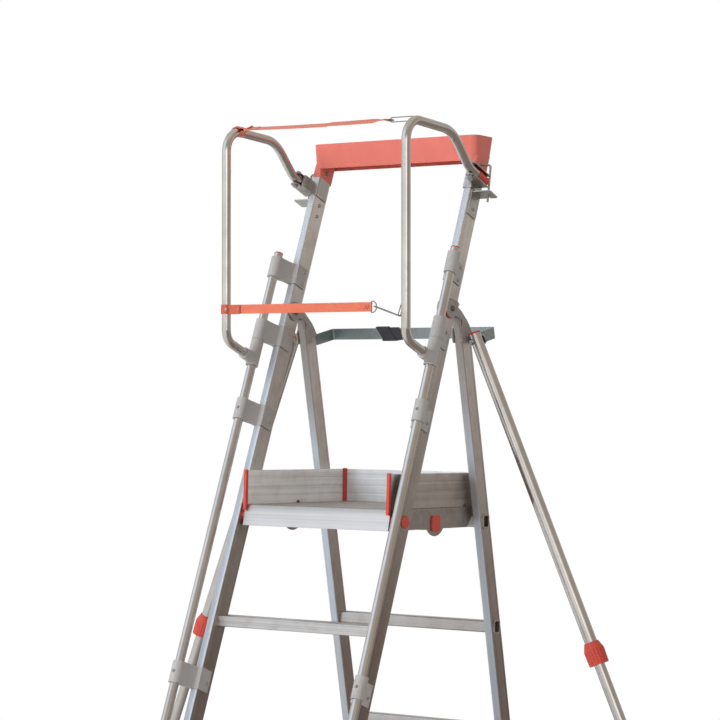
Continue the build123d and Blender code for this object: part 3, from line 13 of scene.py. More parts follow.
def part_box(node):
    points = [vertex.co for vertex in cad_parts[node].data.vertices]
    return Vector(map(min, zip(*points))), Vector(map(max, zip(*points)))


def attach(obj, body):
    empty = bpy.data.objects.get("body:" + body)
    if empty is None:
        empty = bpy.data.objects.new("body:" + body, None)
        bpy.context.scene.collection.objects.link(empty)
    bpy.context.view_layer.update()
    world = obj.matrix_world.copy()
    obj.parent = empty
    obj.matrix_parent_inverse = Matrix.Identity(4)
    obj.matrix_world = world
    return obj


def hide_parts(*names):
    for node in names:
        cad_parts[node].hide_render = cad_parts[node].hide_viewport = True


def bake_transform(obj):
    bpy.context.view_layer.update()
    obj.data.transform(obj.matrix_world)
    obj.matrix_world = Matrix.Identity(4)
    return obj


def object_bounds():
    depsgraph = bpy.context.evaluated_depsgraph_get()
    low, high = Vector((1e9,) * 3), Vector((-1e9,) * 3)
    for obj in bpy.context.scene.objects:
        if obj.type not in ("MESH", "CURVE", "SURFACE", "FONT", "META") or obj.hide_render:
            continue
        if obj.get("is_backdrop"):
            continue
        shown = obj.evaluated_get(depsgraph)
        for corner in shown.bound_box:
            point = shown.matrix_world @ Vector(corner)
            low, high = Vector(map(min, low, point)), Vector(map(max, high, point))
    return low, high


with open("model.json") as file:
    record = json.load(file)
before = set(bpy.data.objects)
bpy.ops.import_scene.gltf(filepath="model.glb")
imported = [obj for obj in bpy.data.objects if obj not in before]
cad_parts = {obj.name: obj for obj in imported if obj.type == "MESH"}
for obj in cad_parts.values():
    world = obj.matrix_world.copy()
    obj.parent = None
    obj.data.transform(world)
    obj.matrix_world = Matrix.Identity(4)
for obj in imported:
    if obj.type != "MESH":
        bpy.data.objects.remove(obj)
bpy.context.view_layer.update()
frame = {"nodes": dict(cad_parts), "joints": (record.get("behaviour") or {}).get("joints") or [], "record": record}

MM = 0.001

# Stance of the ladder, as its source has it
STILE_LEAN = radians(20.87)
LEG_LEAN = radians(12.685)
FOOT_SPREAD = 1092.4 * MM
LEG_OUTER = 271 * MM
STILE_FRONT = -29 * MM
LEG_FRONT = -25 * MM
RAIL_X = 292 * MM
RAIL_DEPTH = -73.3 * MM
TUBE_RADIUS = 12.5 * MM
HANDRAIL_LOW, HANDRAIL_HIGH = 554 * MM, 1956 * MM

# Guard rails
ARM_LEVEL = 1633.5 * MM
TAIL_LEVEL = 2190 * MM
ARM_SEAT = 20 * MM
TAIL_STOP = -1.5 * MM
GUARD_REACH = 338.3 * MM
GUARD_RAKE = 14 * MM
GUARD_RISE = 107.6 * MM
GUARD_FALL = 11 * MM
SHOULDER_REACH = 108.3 * MM
GUARD_BENDS = (42 * MM, 60 * MM, 110 * MM, 70 * MM)

# Straps
STRAP_WIDTH = 25 * MM
WEB = 1.5 * MM
UPPER_STRAP_BACK = 78 * MM
UPPER_STRAP_LIFT = 9.2 * MM
UPPER_SAG = 3 * MM
LOWER_STRAP_DROP = 495 * MM
LEFT_RUN = 258 * MM
LEFT_STEPS = 25
RIGHT_STEPS = 19

# Turn of each strap round the left rail: its tail's places in mm and side, its angles, and the point, in mm
# across and off the rail, where it eases into the run
UPPER_TURN = ((-226, -236, -246, -256), -1, (-0.25, 0.95 - 2 * pi), (22, 10.8))
LOWER_TURN = ((-246, -250, -254, -258), 1, (0.42, 2 * pi - 0.25), (25, -1.2))
TURN_STEPS = 40
TURN_GAP = 0.4 * MM
TAIL_GAP = 0.3 * MM

# Turn of each strap round its ring's bar, with its tail's places in mm
RING_SETBACK = 12 * MM
RING_TURN = 2.2
RING_STEPS = 18
RING_GAP = 0.3 * MM
RING_TAIL = (176, 171, 165, 159)
RING_TAIL_GAP = 0.25 * MM

# Twist of the upper strap: it grows from the left, and fades in and out over short lengths at the ends
UPPER_TWIST = radians(32)
TWIST_FIRST = 0.74
TWIST_START = -260 * MM
TWIST_GROWTH = 1.40
TWIST_IN, TWIST_IN_FADE = -276 * MM, 20 * MM
TWIST_OUT, TWIST_OUT_FADE = 176 * MM, 30 * MM
SKEW_END = -272 * MM
KNOT_SHIFT = Vector((0, -22 * MM, 1 * MM))

# Hitch and flap of the upper strap and fold of the lower one, with the routes of their free ends in mm
HITCH_ANGLES = (2.9, 0.75)
HITCH_STEPS = 16
HITCH_BACK = 2 * MM
HITCH_SLANT = 0.6
HITCH_WIDTH = 14 * MM
HITCH_END = ((-275, 11, 12.0), (-266, 9, 11.6), (-256, 6, 11.4))
FLAP_WIDTH = 9 * MM
FLAP_ROUTE = ((-262, 0, 10.2), (-256, 0, 11.4), (-250, 0, 13.4), (-245, 0, 15.6))
SLIM_STEPS = 5
FOLD_ANGLES = (2.1, 0.5)
FOLD_STEPS = 14
FOLD_GAP = 0.7 * MM
FOLD_OVERLAP = 0.6 * MM
FOLD_END = ((-268, -5.6, -0.8), (-259, -4.6, -0.8), (-251, -4.2, -0.8), (-243, -4.2, -0.8))
RING_SEAM = (162 * MM, 177 * MM)
RAIL_SEAM = (-258 * MM, -245 * MM)
STITCHES = 9
STITCH_HALF = 9 * MM
THREAD = 0.45 * MM
THREAD_BEND = 0.3 * MM

# Rings, eyes and snap hooks
RING_X = 184 * MM
RING_FAR = 198 * MM
RING_BULGE = 2 * MM
RING_HALF = 15 * MM
RING_WIRE = 1.6 * MM
RING_BENDS = (2.4 * MM, 13 * MM, 13 * MM, 2.4 * MM)
EYE_NEAR = 264 * MM
EYE_FAR = 281 * MM
EYE_HANG = 22 * MM
UPPER_EYE_DIP = 1 * MM
LOWER_EYE_SHIFT = 7.5 * MM
LOWER_EYE_DROP, LOWER_EYE_RISE = 2 * MM, 5 * MM
EYE_HALF = 3.8 * MM
EYE_BENDS = [3.6 * MM] * 4
HOOK_WIDTH = 12 * MM
HOOK_WIRE = 1.5 * MM
HOOK_OVER = 5.65 * MM
HOOK_BENDS = [5.2 * MM] * 4
HOOK_SHIFT = 0.25 * MM
HOOK_STRETCH = 7 * MM
GATE_SETBACK = 7.5 * MM
GATE_LENGTH = 18 * MM
GATE_GAP = 0.6 * MM
GATE_WIRE = 1.2 * MM

# Tie round the carrier's back wall: each turn's corners as signs of depth and level, with a shift in mm
TIE_X = -66 * MM
TIE_WIDTH = 42 * MM
TIE_SHEET = 1.4 * MM
TIE_STEPS = 12
TIE_TURNS = 2
TIE_GROWTH = 2.4 * MM
TIE_HIGH, TIE_DEEP = 18.1 * MM, 2.9 * MM
TIE_FIRST, TIE_PITCH = 14 * MM, 34 * MM
TIE_CORNERS = ((-1, -1, 12), (-1, 1, -12), (1, 1, -12), (1, -1, 0))
TIE_END = (-12 * MM, -5.6 * MM, -20.6 * MM)
TIE_PARTS = 6
CARRIER_WALL = 150.5 * MM
CARRIER_MIDDLE = 1643 * MM

# Turned trims, as pairs of radius and distance along the axis in mm
END_CAP = ((0.0, -1.0), (12.7, -1.0), (12.7, 1.4), (11.6, 2.6), (8.0, 3.0), (0.0, 3.0))
RIM = ((25.8, -0.6), (25.8, 0.5), (25.1, 1.2), (22.6, 1.2), (21.9, 0.5), (21.9, -0.6), (25.8, -0.6))
SHIM = ((24.0, -4.3), (27.3, -4.3), (27.3, -2.6), (26.0, -2.2), (24.0, -2.2), (24.0, -4.3))
RIVET = ((0.0, -0.8), (4.2, -0.8), (4.2, 0.2), (3.2, 0.9), (0.0, 1.2))
CAP = ((0.0, 3.0), (16.8, 3.0), (17.6, 2.6), (17.7, -0.6), (16.8, -2.2), (13.5, -3.0), (0.0, -3.2))
FORK_SHEET = 4 * MM
CAP_DROP = 22 * MM
RIVET_LIFT = 0.9 * MM
RIVET_WAY = Vector((0.55, -0.83, 0)).normalized()

# Ribbed tread on the deck and the plates behind the boards' notches
TREAD_RIBS = 44
TREAD_RISE = 0.9 * MM
TREAD_SHEET = 0.25 * MM
TREAD_GAP = 0.4 * MM
TREAD_SETBACK = 3 * MM
TREAD_CORNER = 11 * MM
RIB_PROFILE = ((0.0, 0.3), (0.25, 1.0), (0.6, 1.0), (0.85, 0.3))
NOTCH_RADIUS = 9 * MM
NOTCH_SIDES = 40
NOTCH_SHEET = 1.6 * MM
NOTCH_INSET = 3.5 * MM
NOTCH_BACKS = {"left": 240 * MM, "right": 376 * MM}

# Camera, worked out from the parallel edges in the photograph
CAMERA_PLACE = Vector((3.6433, -5.4103, 1.3790))
CAMERA_AZIMUTH = radians(33.624)
CAMERA_ELEVATION = radians(1.508)
CAMERA_ROLL = radians(0.788)
CAMERA_LENS = 119.56
CAMERA_SENSOR = 36

joint_of = {joint["name"]: joint for joint in frame["joints"]}
record = frame["record"]
body_of = {node: body for body, nodes in record["behaviour"]["bodies"].items() for node in nodes}
hinge = Vector(joint_of["rear_fold"]["pos_m"])
stile_foot = Vector((0, hinge.y - hinge.z * tan(STILE_LEAN), 0))
leg_foot = stile_foot + Vector((0, FOOT_SPREAD, 0))
stile_up = Vector((0, sin(STILE_LEAN), cos(STILE_LEAN)))
stile_back = Vector((0, cos(STILE_LEAN), -sin(STILE_LEAN)))
leg_up = Vector((0, -sin(LEG_LEAN), cos(LEG_LEAN)))
leg_back = Vector((0, cos(LEG_LEAN), sin(LEG_LEAN)))
across = Vector((1, 0, 0))
rearward = Vector((0, 1, 0))
upward = Vector((0, 0, 1))
SIDES = ((-1, "left"), (1, "right"))


def on_stile(x, depth, level):
    return stile_foot + across * x + stile_back * depth + stile_up * level


def on_leg(x, depth, level):
    return leg_foot + across * x + leg_back * depth + leg_up * level


def clamped(share):
    return min(1.0, max(0.0, share))


# Shader helpers

def fill(tree, socket, value):
    """Links a socket to the one that feeds it, or sets its constant."""
    if isinstance(value, bpy.types.NodeSocket):
        tree.links.new(value, socket)
    else:
        socket.default_value = value


def feed(tree, node, **inputs):
    """Fills a node's inputs by socket name."""
    for key, value in inputs.items():
        fill(tree, node.inputs[key.replace("_", " ")], value)


def put(tree, kind, settings=(), **inputs):
    """Adds a node with the given properties and inputs."""
    node = tree.nodes.new(kind)
    for key, value in dict(settings).items():
        setattr(node, key, value)
    feed(tree, node, **inputs)
    return node


def maths(tree, operation, *values):
    """Result of a math node on values in their order."""
    node = put(tree, "ShaderNodeMath", {"operation": operation})
    for socket, value in zip(node.inputs, values):
        fill(tree, socket, value)
    return node.outputs[0]


def span(tree, value, source=(0.0, 1.0), target=(0.0, 1.0), smooth=False):
    """Carries a value from one range to another, evenly or eased at both ends."""
    kind = "SMOOTHSTEP" if smooth else "LINEAR"
    node = put(tree, "ShaderNodeMapRange", {"interpolation_type": kind}, Value=value,
               From_Min=source[0], From_Max=source[1], To_Min=target[0], To_Max=target[1])
    return node.outputs[0]


def reach_along(tree, place, direction):
    """Distance of a place along a direction."""
    node = put(tree, "ShaderNodeVectorMath", {"operation": "DOT_PRODUCT"})
    fill(tree, node.inputs[0], place)
    fill(tree, node.inputs[1], direction)
    return node.outputs["Value"]


def noise(tree, place, scale, detail, roughness):
    node = put(tree, "ShaderNodeTexNoise", Vector=place, Scale=scale, Detail=detail, Roughness=roughness)
    return node.outputs["Fac"]


def ramp(tree, factor, stops):
    """Colour ramp with the given (position, colour) stops."""
    node = put(tree, "ShaderNodeValToRGB", Fac=factor)
    elements = node.color_ramp.elements
    while len(elements) < len(stops):
        elements.new(0.5)
    for element, (place, shade) in zip(elements, stops):
        element.position = place
        element.color = (*shade, 1)
    return node.outputs["Color"]


def blend_colour(tree, kind, factor, first, second):
    node = put(tree, "ShaderNodeMix", {"data_type": "RGBA", "blend_type": kind})
    for index, value in ((0, factor), (6, first), (7, second)):
        fill(tree, node.inputs[index], value)
    return node.outputs[2]


def mix_shader(tree, factor, first, second):
    node = put(tree, "ShaderNodeMixShader", Fac=factor)
    tree.links.new(first, node.inputs[1])
    tree.links.new(second, node.inputs[2])
    return node.outputs[0]


def bump(tree, height, strength, distance):
    return put(tree, "ShaderNodeBump", Height=height, Strength=strength, Distance=distance).outputs["Normal"]


def tone(colour, share=1.0, lift=0.0):
    """Colour dimmed or brightened by a share and then lifted, with its alpha."""
    return (*(min(1.0, part * share + lift) for part in colour), 1)


def new_group(name, outputs, **values):
    """Shader group with a vector and named values in, and named values out."""
    tree = bpy.data.node_groups.new(name, "ShaderNodeTree")
    tree.interface.new_socket(name="Vector", in_out="INPUT", socket_type="NodeSocketVector")
    for label, value in values.items():
        socket = tree.interface.new_socket(name=label, in_out="INPUT", socket_type="NodeSocketFloat")
        socket.default_value = value
    for label in outputs:
        tree.interface.new_socket(name=label, in_out="OUTPUT", socket_type="NodeSocketFloat")
    return tree, tree.nodes.new("NodeGroupInput").outputs, tree.nodes.new("NodeGroupOutput").inputs


def use_group(tree, group, **inputs):
    return put(tree, "ShaderNodeGroup", {"node_tree": group}, **inputs).outputs


def lengthwise_grain():
    """Streaks of drawn or extruded metal: Shade for colour, Rough for gloss, Height for bump."""
    tree, given, out = new_group("lengthwise_grain", ("Shade", "Rough", "Height"))
    fine = noise(tree, given["Vector"], 1.0, 3.0, 0.6)
    wide = noise(tree, given["Vector"], 0.12, 2.0, 0.5)
    streaks = maths(tree, "MULTIPLY_ADD", wide, 0.6, fine)
    tree.links.new(span(tree, streaks, (0.45, 1.15)), out["Shade"])
    tree.links.new(span(tree, wide, (0.3, 0.7)), out["Rough"])
    tree.links.new(fine, out["Height"])
    return tree


def handling_marks():
    """Cloudy smudges and fine dust from use: one mask."""
    tree, given, out = new_group("handling_marks", ("Mask",), Scale=8.0)
    cloud = noise(tree, given["Vector"], given["Scale"], 5.0, 0.62)
    tree.links.new(span(tree, cloud, (0.38, 0.72), smooth=True), out["Mask"])
    return tree


def moulding_grain():
    """Fine pebble of a moulded surface: Height for bump and Shade for colour."""
    tree, given, out = new_group("moulding_grain", ("Height", "Shade"), Scale=900.0)
    tree.links.new(noise(tree, given["Vector"], given["Scale"], 2.0, 0.5), out["Height"])
    tree.links.new(noise(tree, given["Vector"], 11.0, 3.0, 0.5), out["Shade"])
    return tree


def webbing_weave():
    """Flat woven band on its own UV map in metres: warp ribs along it, picks across it."""
    tree, given, out = new_group("webbing_weave", ("Height", "Shade"), Pitch=1.6 * MM)
    parts = put(tree, "ShaderNodeSeparateXYZ", Vector=given["Vector"]).outputs

    def wave(run, turns, phase):
        share = maths(tree, "DIVIDE", run, given["Pitch"])
        return maths(tree, "SINE", maths(tree, "MULTIPLY_ADD", share, 2 * pi * turns, phase))

    checker = maths(tree, "MULTIPLY", wave(parts["X"], 0.5, 0.0), wave(parts["Y"], 0.5, 0.0))
    height = maths(tree, "MULTIPLY_ADD", wave(parts["Y"], 1.0, pi / 2), 0.5, checker)
    tree.links.new(height, out["Height"])
    tree.links.new(span(tree, height, (-1.5, 1.5)), out["Shade"])
    return tree


GRAIN = lengthwise_grain()
MARKS = handling_marks()
PEBBLE = moulding_grain()
WEAVE = webbing_weave()

# Marks on metal: streaks, lengthwise bands, smudges, and tones by height: painted shade towards the bottom
# with painted light towards the top, and painted highlights on the front lips
STREAK_WIDTH, STREAK_LENGTH = 2.6 * MM, 0.7
STREAK_DARK = 0.82
DULL = 0.86
DULL_SHARE = 0.45
DULL_ROUGH = 0.08
GRAIN_BUMP = 0.2 * MM
BAND_RATIO = 4.5
BAND_DARK = (0.78, 0.78, 0.78, 1)
BAND_PALE = (1.20, 1.20, 1.20, 1)
SMUDGE_TONE = (0.90, 0.885, 0.875, 1)
RUBBED_TONE = (0.93, 0.93, 0.93, 1)
SPANGLE_DARK = 0.8
SPANGLE_GLOSS = (0.28, 0.46)
TONE_HEIGHTS = (0.7, 2.1)
# Painted shade and painted light by height: darker towards the bottom, brighter towards the top
HEIGHT_SHADE_TONES = (
    (0.00, (0.62, 0.58, 0.555)),
    (0.44, (1.00, 1.00, 1.00)),
    (0.62, (1.00, 1.00, 1.00)),
    (0.88, (1.36, 1.38, 1.38)),
)
# Painted bluish highlights on the stiles' front lips, by height
STILE_LIP_HIGHLIGHT_TONES = (
    (0.00, (0.66, 0.72, 0.80)),
    (0.50, (0.80, 0.87, 0.96)),
    (0.74, (0.60, 0.625, 0.66)),
    (1.00, (0.52, 0.53, 0.55)),
)
# Painted highlights on the legs' front lips, by height
LEG_LIP_HIGHLIGHT_TONES = (
    (0.00, (0.44, 0.47, 0.51)),
    (0.26, (0.54, 0.59, 0.66)),
    (0.36, (0.42, 0.42, 0.42)),
    (0.43, (0.50, 0.54, 0.60)),
    (0.53, (0.36, 0.35, 0.34)),
    (0.64, (0.32, 0.295, 0.27)),
)
# Painted highlight on the pan's nose, brighter than the rest of the pan
NOSE_HIGHLIGHT_TONES = ((0.0, (0.75, 0.725, 0.705)), (1.0, (0.75, 0.725, 0.705)))
NOSE_BACK = 10 * MM
LIP_FADE = 3 * MM
LIP_METALLIC = 0.5

# Marks on plastic and webbing: each tone is a share of the colour and a lift
FLOW_DEEP, FLOW_PALE, DUST = (0.8, 0.0), (1.06, 0.012), (0.9, 0.02)
THREAD_DEEP, WORN_THREAD = (0.62, 0.0), (0.9, 0.03)
MARK_SHARE, WORN_SHARE = 0.4, 0.35
THREAD_SHEEN, THREAD_GLOSS = 0.25, 0.15

# Marks to the metre
SMEARS, SPOTS, CLOUDS, RUBS = 6.0, 24.0, 5.0, 38.0
SPANGLES, ZINC_MARKS, MOULD_MARKS, WEB_MARKS = 140.0, 14.0, 17.0, 20.0


def new_material(name):
    material = bpy.data.materials.new(name)
    material.use_nodes = True
    tree = material.node_tree
    shader = tree.nodes["Principled BSDF"]
    place = put(tree, "ShaderNodeTexCoord").outputs["Object"]
    return material, tree, shader, place


def streaked_metal(name, turn, run, colour, gloss, depth=0.08, metallic=1.0, height_shaded=False, lip=None):
    """Metal with streaks along its length: turn leans the grain about X and run picks the long axis.

    Height-shaded metal gets painted shade downwards and painted light upwards, and a lip is a plane, given
    by a point and its normal, before which the metal gets a painted highlight, in tones by height and with
    its own share of metal."""
    material, tree, shader, place = new_material(name)
    scale = [STREAK_WIDTH] * 3
    scale[run] = STREAK_LENGTH

    def grain_at(size):
        lined = put(tree, "ShaderNodeMapping", {"vector_type": "TEXTURE"}, Vector=place,
                    Rotation=(turn, 0, 0), Scale=[width * size for width in scale])
        return use_group(tree, GRAIN, Vector=lined.outputs[0])

    grain = grain_at(1)
    marks = use_group(tree, MARKS, Vector=place, Scale=SMEARS)["Mask"]
    streak = blend_colour(tree, "MIX", grain["Shade"], tone(colour, STREAK_DARK), tone(colour))
    dulled = blend_colour(tree, "MIX", marks, streak, tone(colour, DULL))
    base = blend_colour(tree, "MIX", DULL_SHARE, streak, dulled)
    bands = blend_colour(tree, "MIX", grain_at(BAND_RATIO)["Shade"], BAND_DARK, BAND_PALE)
    base = blend_colour(tree, "MULTIPLY", 1.0, base, bands)
    spots = use_group(tree, MARKS, Vector=place, Scale=SPOTS)["Mask"]
    base = blend_colour(tree, "MULTIPLY", spots, base, SMUDGE_TONE)
    level = put(tree, "ShaderNodeSeparateXYZ", Vector=place).outputs["Z"]
    height = span(tree, level, TONE_HEIGHTS)
    # Painted shade low down and painted light high up, by height
    if height_shaded:
        base = blend_colour(tree, "MULTIPLY", 1.0, base, ramp(tree, height, HEIGHT_SHADE_TONES))
    if lip:
        point, normal, tones, lip_metallic = lip
        edge = point.dot(normal)
        # Painted highlight: the metal before the lip takes bright tones by height
        rub_and_highlight_mask = span(tree, reach_along(tree, place, normal), (edge + LIP_FADE, edge), smooth=True)
        wear_and_highlight = blend_colour(tree, "MULTIPLY", 1.0, ramp(tree, height, tones), bands)
        base = blend_colour(tree, "MIX", rub_and_highlight_mask, base, wear_and_highlight)
        metallic = span(tree, rub_and_highlight_mask, target=(metallic, lip_metallic))
    rough = maths(tree, "MULTIPLY_ADD", marks, DULL_ROUGH, span(tree, grain["Rough"], target=gloss))
    feed(tree, shader, Base_Color=base, Metallic=metallic, Roughness=rough,
         Normal=bump(tree, grain["Height"], depth, GRAIN_BUMP))
    return material


def drawn_tube(name, colour, gloss):
    """Smooth drawn tube: broad cloudy shifts of tone and gloss, with faint rubbed marks."""
    material, tree, shader, place = new_material(name)
    cloud = use_group(tree, MARKS, Vector=place, Scale=CLOUDS)["Mask"]
    rub_and_highlight_mask = use_group(tree, MARKS, Vector=place, Scale=RUBS)["Mask"]
    base = blend_colour(tree, "MIX", cloud, tone(colour), tone(colour, DULL))
    wear_and_highlight = blend_colour(tree, "MULTIPLY", rub_and_highlight_mask, base, RUBBED_TONE)
    feed(tree, shader, Base_Color=wear_and_highlight, Metallic=1.0, Roughness=span(tree, rub_and_highlight_mask, target=gloss))
    return material


def galvanised(name, colour):
    """Zinc-coated sheet with faint spangles."""
    material, tree, shader, place = new_material(name)
    cells = put(tree, "ShaderNodeTexVoronoi", Vector=place, Scale=SPANGLES).outputs
    marks = use_group(tree, MARKS, Vector=place, Scale=ZINC_MARKS)["Mask"]
    dark = tone(colour, SPANGLE_DARK)
    spangle = blend_colour(tree, "MIX", cells["Distance"], tone(colour), dark)
    marked = blend_colour(tree, "MIX", marks, spangle, dark)
    cell_grey = put(tree, "ShaderNodeRGBToBW", Color=cells["Color"]).outputs[0]
    feed(tree, shader, Base_Color=blend_colour(tree, "MIX", MARK_SHARE, spangle, marked), Metallic=1.0,
         Roughness=span(tree, cell_grey, target=SPANGLE_GLOSS),
         Normal=bump(tree, cells["Distance"], 0.08, GRAIN_BUMP))
    return material


def moulded(name, colour, gloss, pebble=900.0):
    """Injection-moulded plastic or rubber: flow marks, pebble and handling marks."""
    material, tree, shader, place = new_material(name)
    grain = use_group(tree, PEBBLE, Vector=place, Scale=pebble)
    marks = use_group(tree, MARKS, Vector=place, Scale=MOULD_MARKS)["Mask"]
    flow = blend_colour(tree, "MIX", grain["Shade"], tone(colour, *FLOW_DEEP), tone(colour, *FLOW_PALE))
    dusty = blend_colour(tree, "MIX", marks, flow, tone(colour, *DUST))
    feed(tree, shader, Base_Color=blend_colour(tree, "MIX", MARK_SHARE, flow, dusty),
         Roughness=span(tree, marks, target=gloss),
         Normal=bump(tree, grain["Height"], 0.12, 0.15 * MM))
    return material


def woven(name, colour, pitch, rough):
    """Webbing: a flat weave on the piece's own UV map, in metres."""
    material, tree, shader, place = new_material(name)
    band = put(tree, "ShaderNodeUVMap", {"uv_map": "band"}).outputs["UV"]
    weave = use_group(tree, WEAVE, Vector=band, Pitch=pitch)
    marks = use_group(tree, MARKS, Vector=place, Scale=WEB_MARKS)["Mask"]
    thread = blend_colour(tree, "MIX", weave["Shade"], tone(colour, *THREAD_DEEP), tone(colour))
    wear_and_highlight = blend_colour(tree, "MIX", marks, thread, tone(colour, *WORN_THREAD))
    feed(tree, shader, Base_Color=blend_colour(tree, "MIX", WORN_SHARE, thread, wear_and_highlight),
         Sheen_Weight=THREAD_SHEEN,
         Roughness=span(tree, weave["Shade"], target=(rough, rough - THREAD_GLOSS)),
         Normal=bump(tree, weave["Height"], 0.5, 0.3 * MM))
    return material


LENGTH_X, LENGTH_Y, LENGTH_Z = 0, 1, 2
SATIN = (0.30, 0.42)
STRAP_PITCH, TIE_WEAVE = 1.6 * MM, 1.2 * MM
stile_lip_highlight = (on_stile(0, STILE_FRONT, 0), stile_back, STILE_LIP_HIGHLIGHT_TONES, LIP_METALLIC)
leg_lip_highlight = (on_leg(0, LEG_FRONT, 0), leg_back, LEG_LIP_HIGHLIGHT_TONES, LIP_METALLIC)
pan_nose = Vector(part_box("platform_pan")[0]) + rearward * NOSE_BACK
nose_highlight = (pan_nose, rearward, NOSE_HIGHLIGHT_TONES, 1.0)
stile_metal = streaked_metal("stile_aluminium", -STILE_LEAN, LENGTH_Z, (0.66, 0.64, 0.615), (0.26, 0.36),
                             height_shaded=True, lip=stile_lip_highlight)
leg_metal = streaked_metal("leg_aluminium", LEG_LEAN, LENGTH_Z, (0.80, 0.78, 0.76), (0.28, 0.40),
                           height_shaded=True, lip=leg_lip_highlight)
channel_metal = streaked_metal("channel_aluminium", -STILE_LEAN, LENGTH_Z, (0.62, 0.60, 0.585),
                               (0.24, 0.34), depth=0.06)
cross_metal = streaked_metal("cross_aluminium", 0, LENGTH_X, (0.76, 0.75, 0.735), SATIN)
rung_metal = streaked_metal("rung_aluminium", 0, LENGTH_X, (0.64, 0.625, 0.61), SATIN)
pan_metal = streaked_metal("pan_aluminium", 0, LENGTH_X, (0.54, 0.51, 0.49), SATIN, lip=nose_highlight)
# Toe boards as lit and shaded copies of one aluminium: painted light on the left board, painted shade on the right
# board, and a painted bluish reflection on the rear board
lit_board_metal = streaked_metal("board_aluminium", 0, LENGTH_Y, (0.98, 0.965, 0.945), SATIN, metallic=0.15)
lit_rear_board_metal = streaked_metal("rear_board_aluminium", 0, LENGTH_X, (0.92, 0.94, 0.975), SATIN,
                                  metallic=0.25)
shaded_board_metal = streaked_metal("shaded_board_aluminium", 0, LENGTH_Y, (0.72, 0.69, 0.66), SATIN)
deck_metal = streaked_metal("deck_sheet", 0, LENGTH_X, (0.60, 0.59, 0.575), (0.46, 0.60), depth=0.16)
tube_metal = drawn_tube("drawn_tube", (0.69, 0.67, 0.645), (0.10, 0.17))
zinc = galvanised("galvanised_sheet", (0.42, 0.49, 0.50))
bracket_zinc = galvanised("latch_sheet", (0.68, 0.71, 0.67))
bolt_zinc = galvanised("zinc_fasteners", (0.50, 0.50, 0.48))
wire_steel = drawn_tube("fitting_wire", (0.36, 0.35, 0.32), (0.22, 0.34))
pivot_zinc = galvanised("dark_fasteners", (0.20, 0.22, 0.22))
grey_plastic = moulded("grey_moulding", (0.440, 0.420, 0.405), (0.40, 0.54))
dark_plastic = moulded("dark_moulding", (0.330, 0.300, 0.278), (0.42, 0.56))
tray_plastic = moulded("tray_moulding", (0.745, 0.175, 0.132), (0.36, 0.50))
red_plastic = moulded("red_moulding", (0.610, 0.062, 0.038), (0.34, 0.48))
notch_painted_shadow = moulded("notch_shadow", (0.100, 0.094, 0.090), (0.55, 0.70))
rubber = moulded("black_rubber", (0.022, 0.022, 0.022), (0.62, 0.78), pebble=500.0)
webbing = woven("orange_webbing", (0.82, 0.195, 0.105), STRAP_PITCH, 0.78)
tie_cloth = woven("black_tie", (0.044, 0.042, 0.048), TIE_WEAVE, 0.85)
# Darker copy of the strap webbing for the lower strap's fold: painted shade
shaded_fold_webbing = woven("shaded_folded_webbing", (0.66, 0.125, 0.066), STRAP_PITCH, 0.78)
stitch_thread = moulded("strap_thread", (0.82, 0.30, 0.20), (0.6, 0.75))
rivet_pale = galvanised("pale_rivet", (0.80, 0.66, 0.60))

# Finish of each CAD node, with the radius its edges are rounded to, or none where a piece stands for it
finishes = (
    (stile_metal, 0.5 * MM, ("left_stile", "right_stile")),
    (channel_metal, 0.5 * MM, ("left_rail_channel", "right_rail_channel")),
    (leg_metal, 0.5 * MM, ("left_rear_leg", "right_rear_leg")),
    (cross_metal, 0.6 * MM, ("lower_step", "middle_step", "upper_step", "platform_cross_tube",
                             "platform_pivot_tube")),
    (rung_metal, 0.6 * MM, ("rear_rungs",)),
    (pan_metal, 0.6 * MM, ("platform_pan",)),
    (lit_board_metal, 0.6 * MM, ("left_toe_board",)),
    (shaded_board_metal, 0.6 * MM, ("right_toe_board",)),
    (lit_rear_board_metal, 0.6 * MM, ("rear_toe_board",)),
    (tube_metal, None, ("left_guard_rail", "right_guard_rail", "left_handrail", "right_handrail")),
    (tube_metal, 0.4 * MM, ("left_outrigger_tube", "right_outrigger_tube", "left_outrigger_leg",
                            "right_outrigger_leg")),
    (zinc, 0.7 * MM, ("stow_carrier",)),
    (bracket_zinc, 0.7 * MM, ("left_latch_bracket", "right_latch_bracket")),
    (bolt_zinc, 0.5 * MM, ("left_lock_rod", "right_lock_rod", "rail_pivot_bolts", "latch_fasteners",
                           "rear_bolts", "clip_screws")),
    (pivot_zinc, 0.5 * MM, ("hinge_bolts",)),
    (wire_steel, None, ("strap_rings", "strap_hooks", "upper_hook_gate", "lower_hook_gate")),
    (grey_plastic, 1.2 * MM, ("handrail_clips", "left_swivel_collar", "right_swivel_collar")),
    (dark_plastic, 1.2 * MM, ("left_hinge_fork", "right_hinge_fork")),
    (tray_plastic, 0.9 * MM, ("tool_tray",)),
    (red_plastic, None, ("handrail_caps",)),
    (red_plastic, 0.9 * MM, ("left_rail_sleeve", "right_rail_sleeve", "platform_pivot_plugs",
                             "pivot_washers", "cross_tube_plugs", "toe_board_corners",
                             "left_lock_collar", "right_lock_collar")),
    (rubber, 1.5 * MM, ("front_feet", "rear_feet", "left_outrigger_pad", "right_outrigger_pad")),
    (webbing, None, ("upper_strap", "lower_strap")),
    (tie_cloth, None, ("carrier_tie",)),
)


# Mesh helpers

SHARP = radians(40)
ROUNDED = radians(32)
FLAT = radians(0.5)
SHORTEST_ROUNDED = 2.5
TUBE_SIDES, TUBE_STEPS = 48, 18
WIRE_SIDES, WIRE_STEPS = 16, 8
THREAD_SIDES, THREAD_STEPS = 8, 3
MERGE_COPY, MERGE_TUBE, MERGE_TURNED = 0.005 * MM, 0.002 * MM, 0.01 * MM


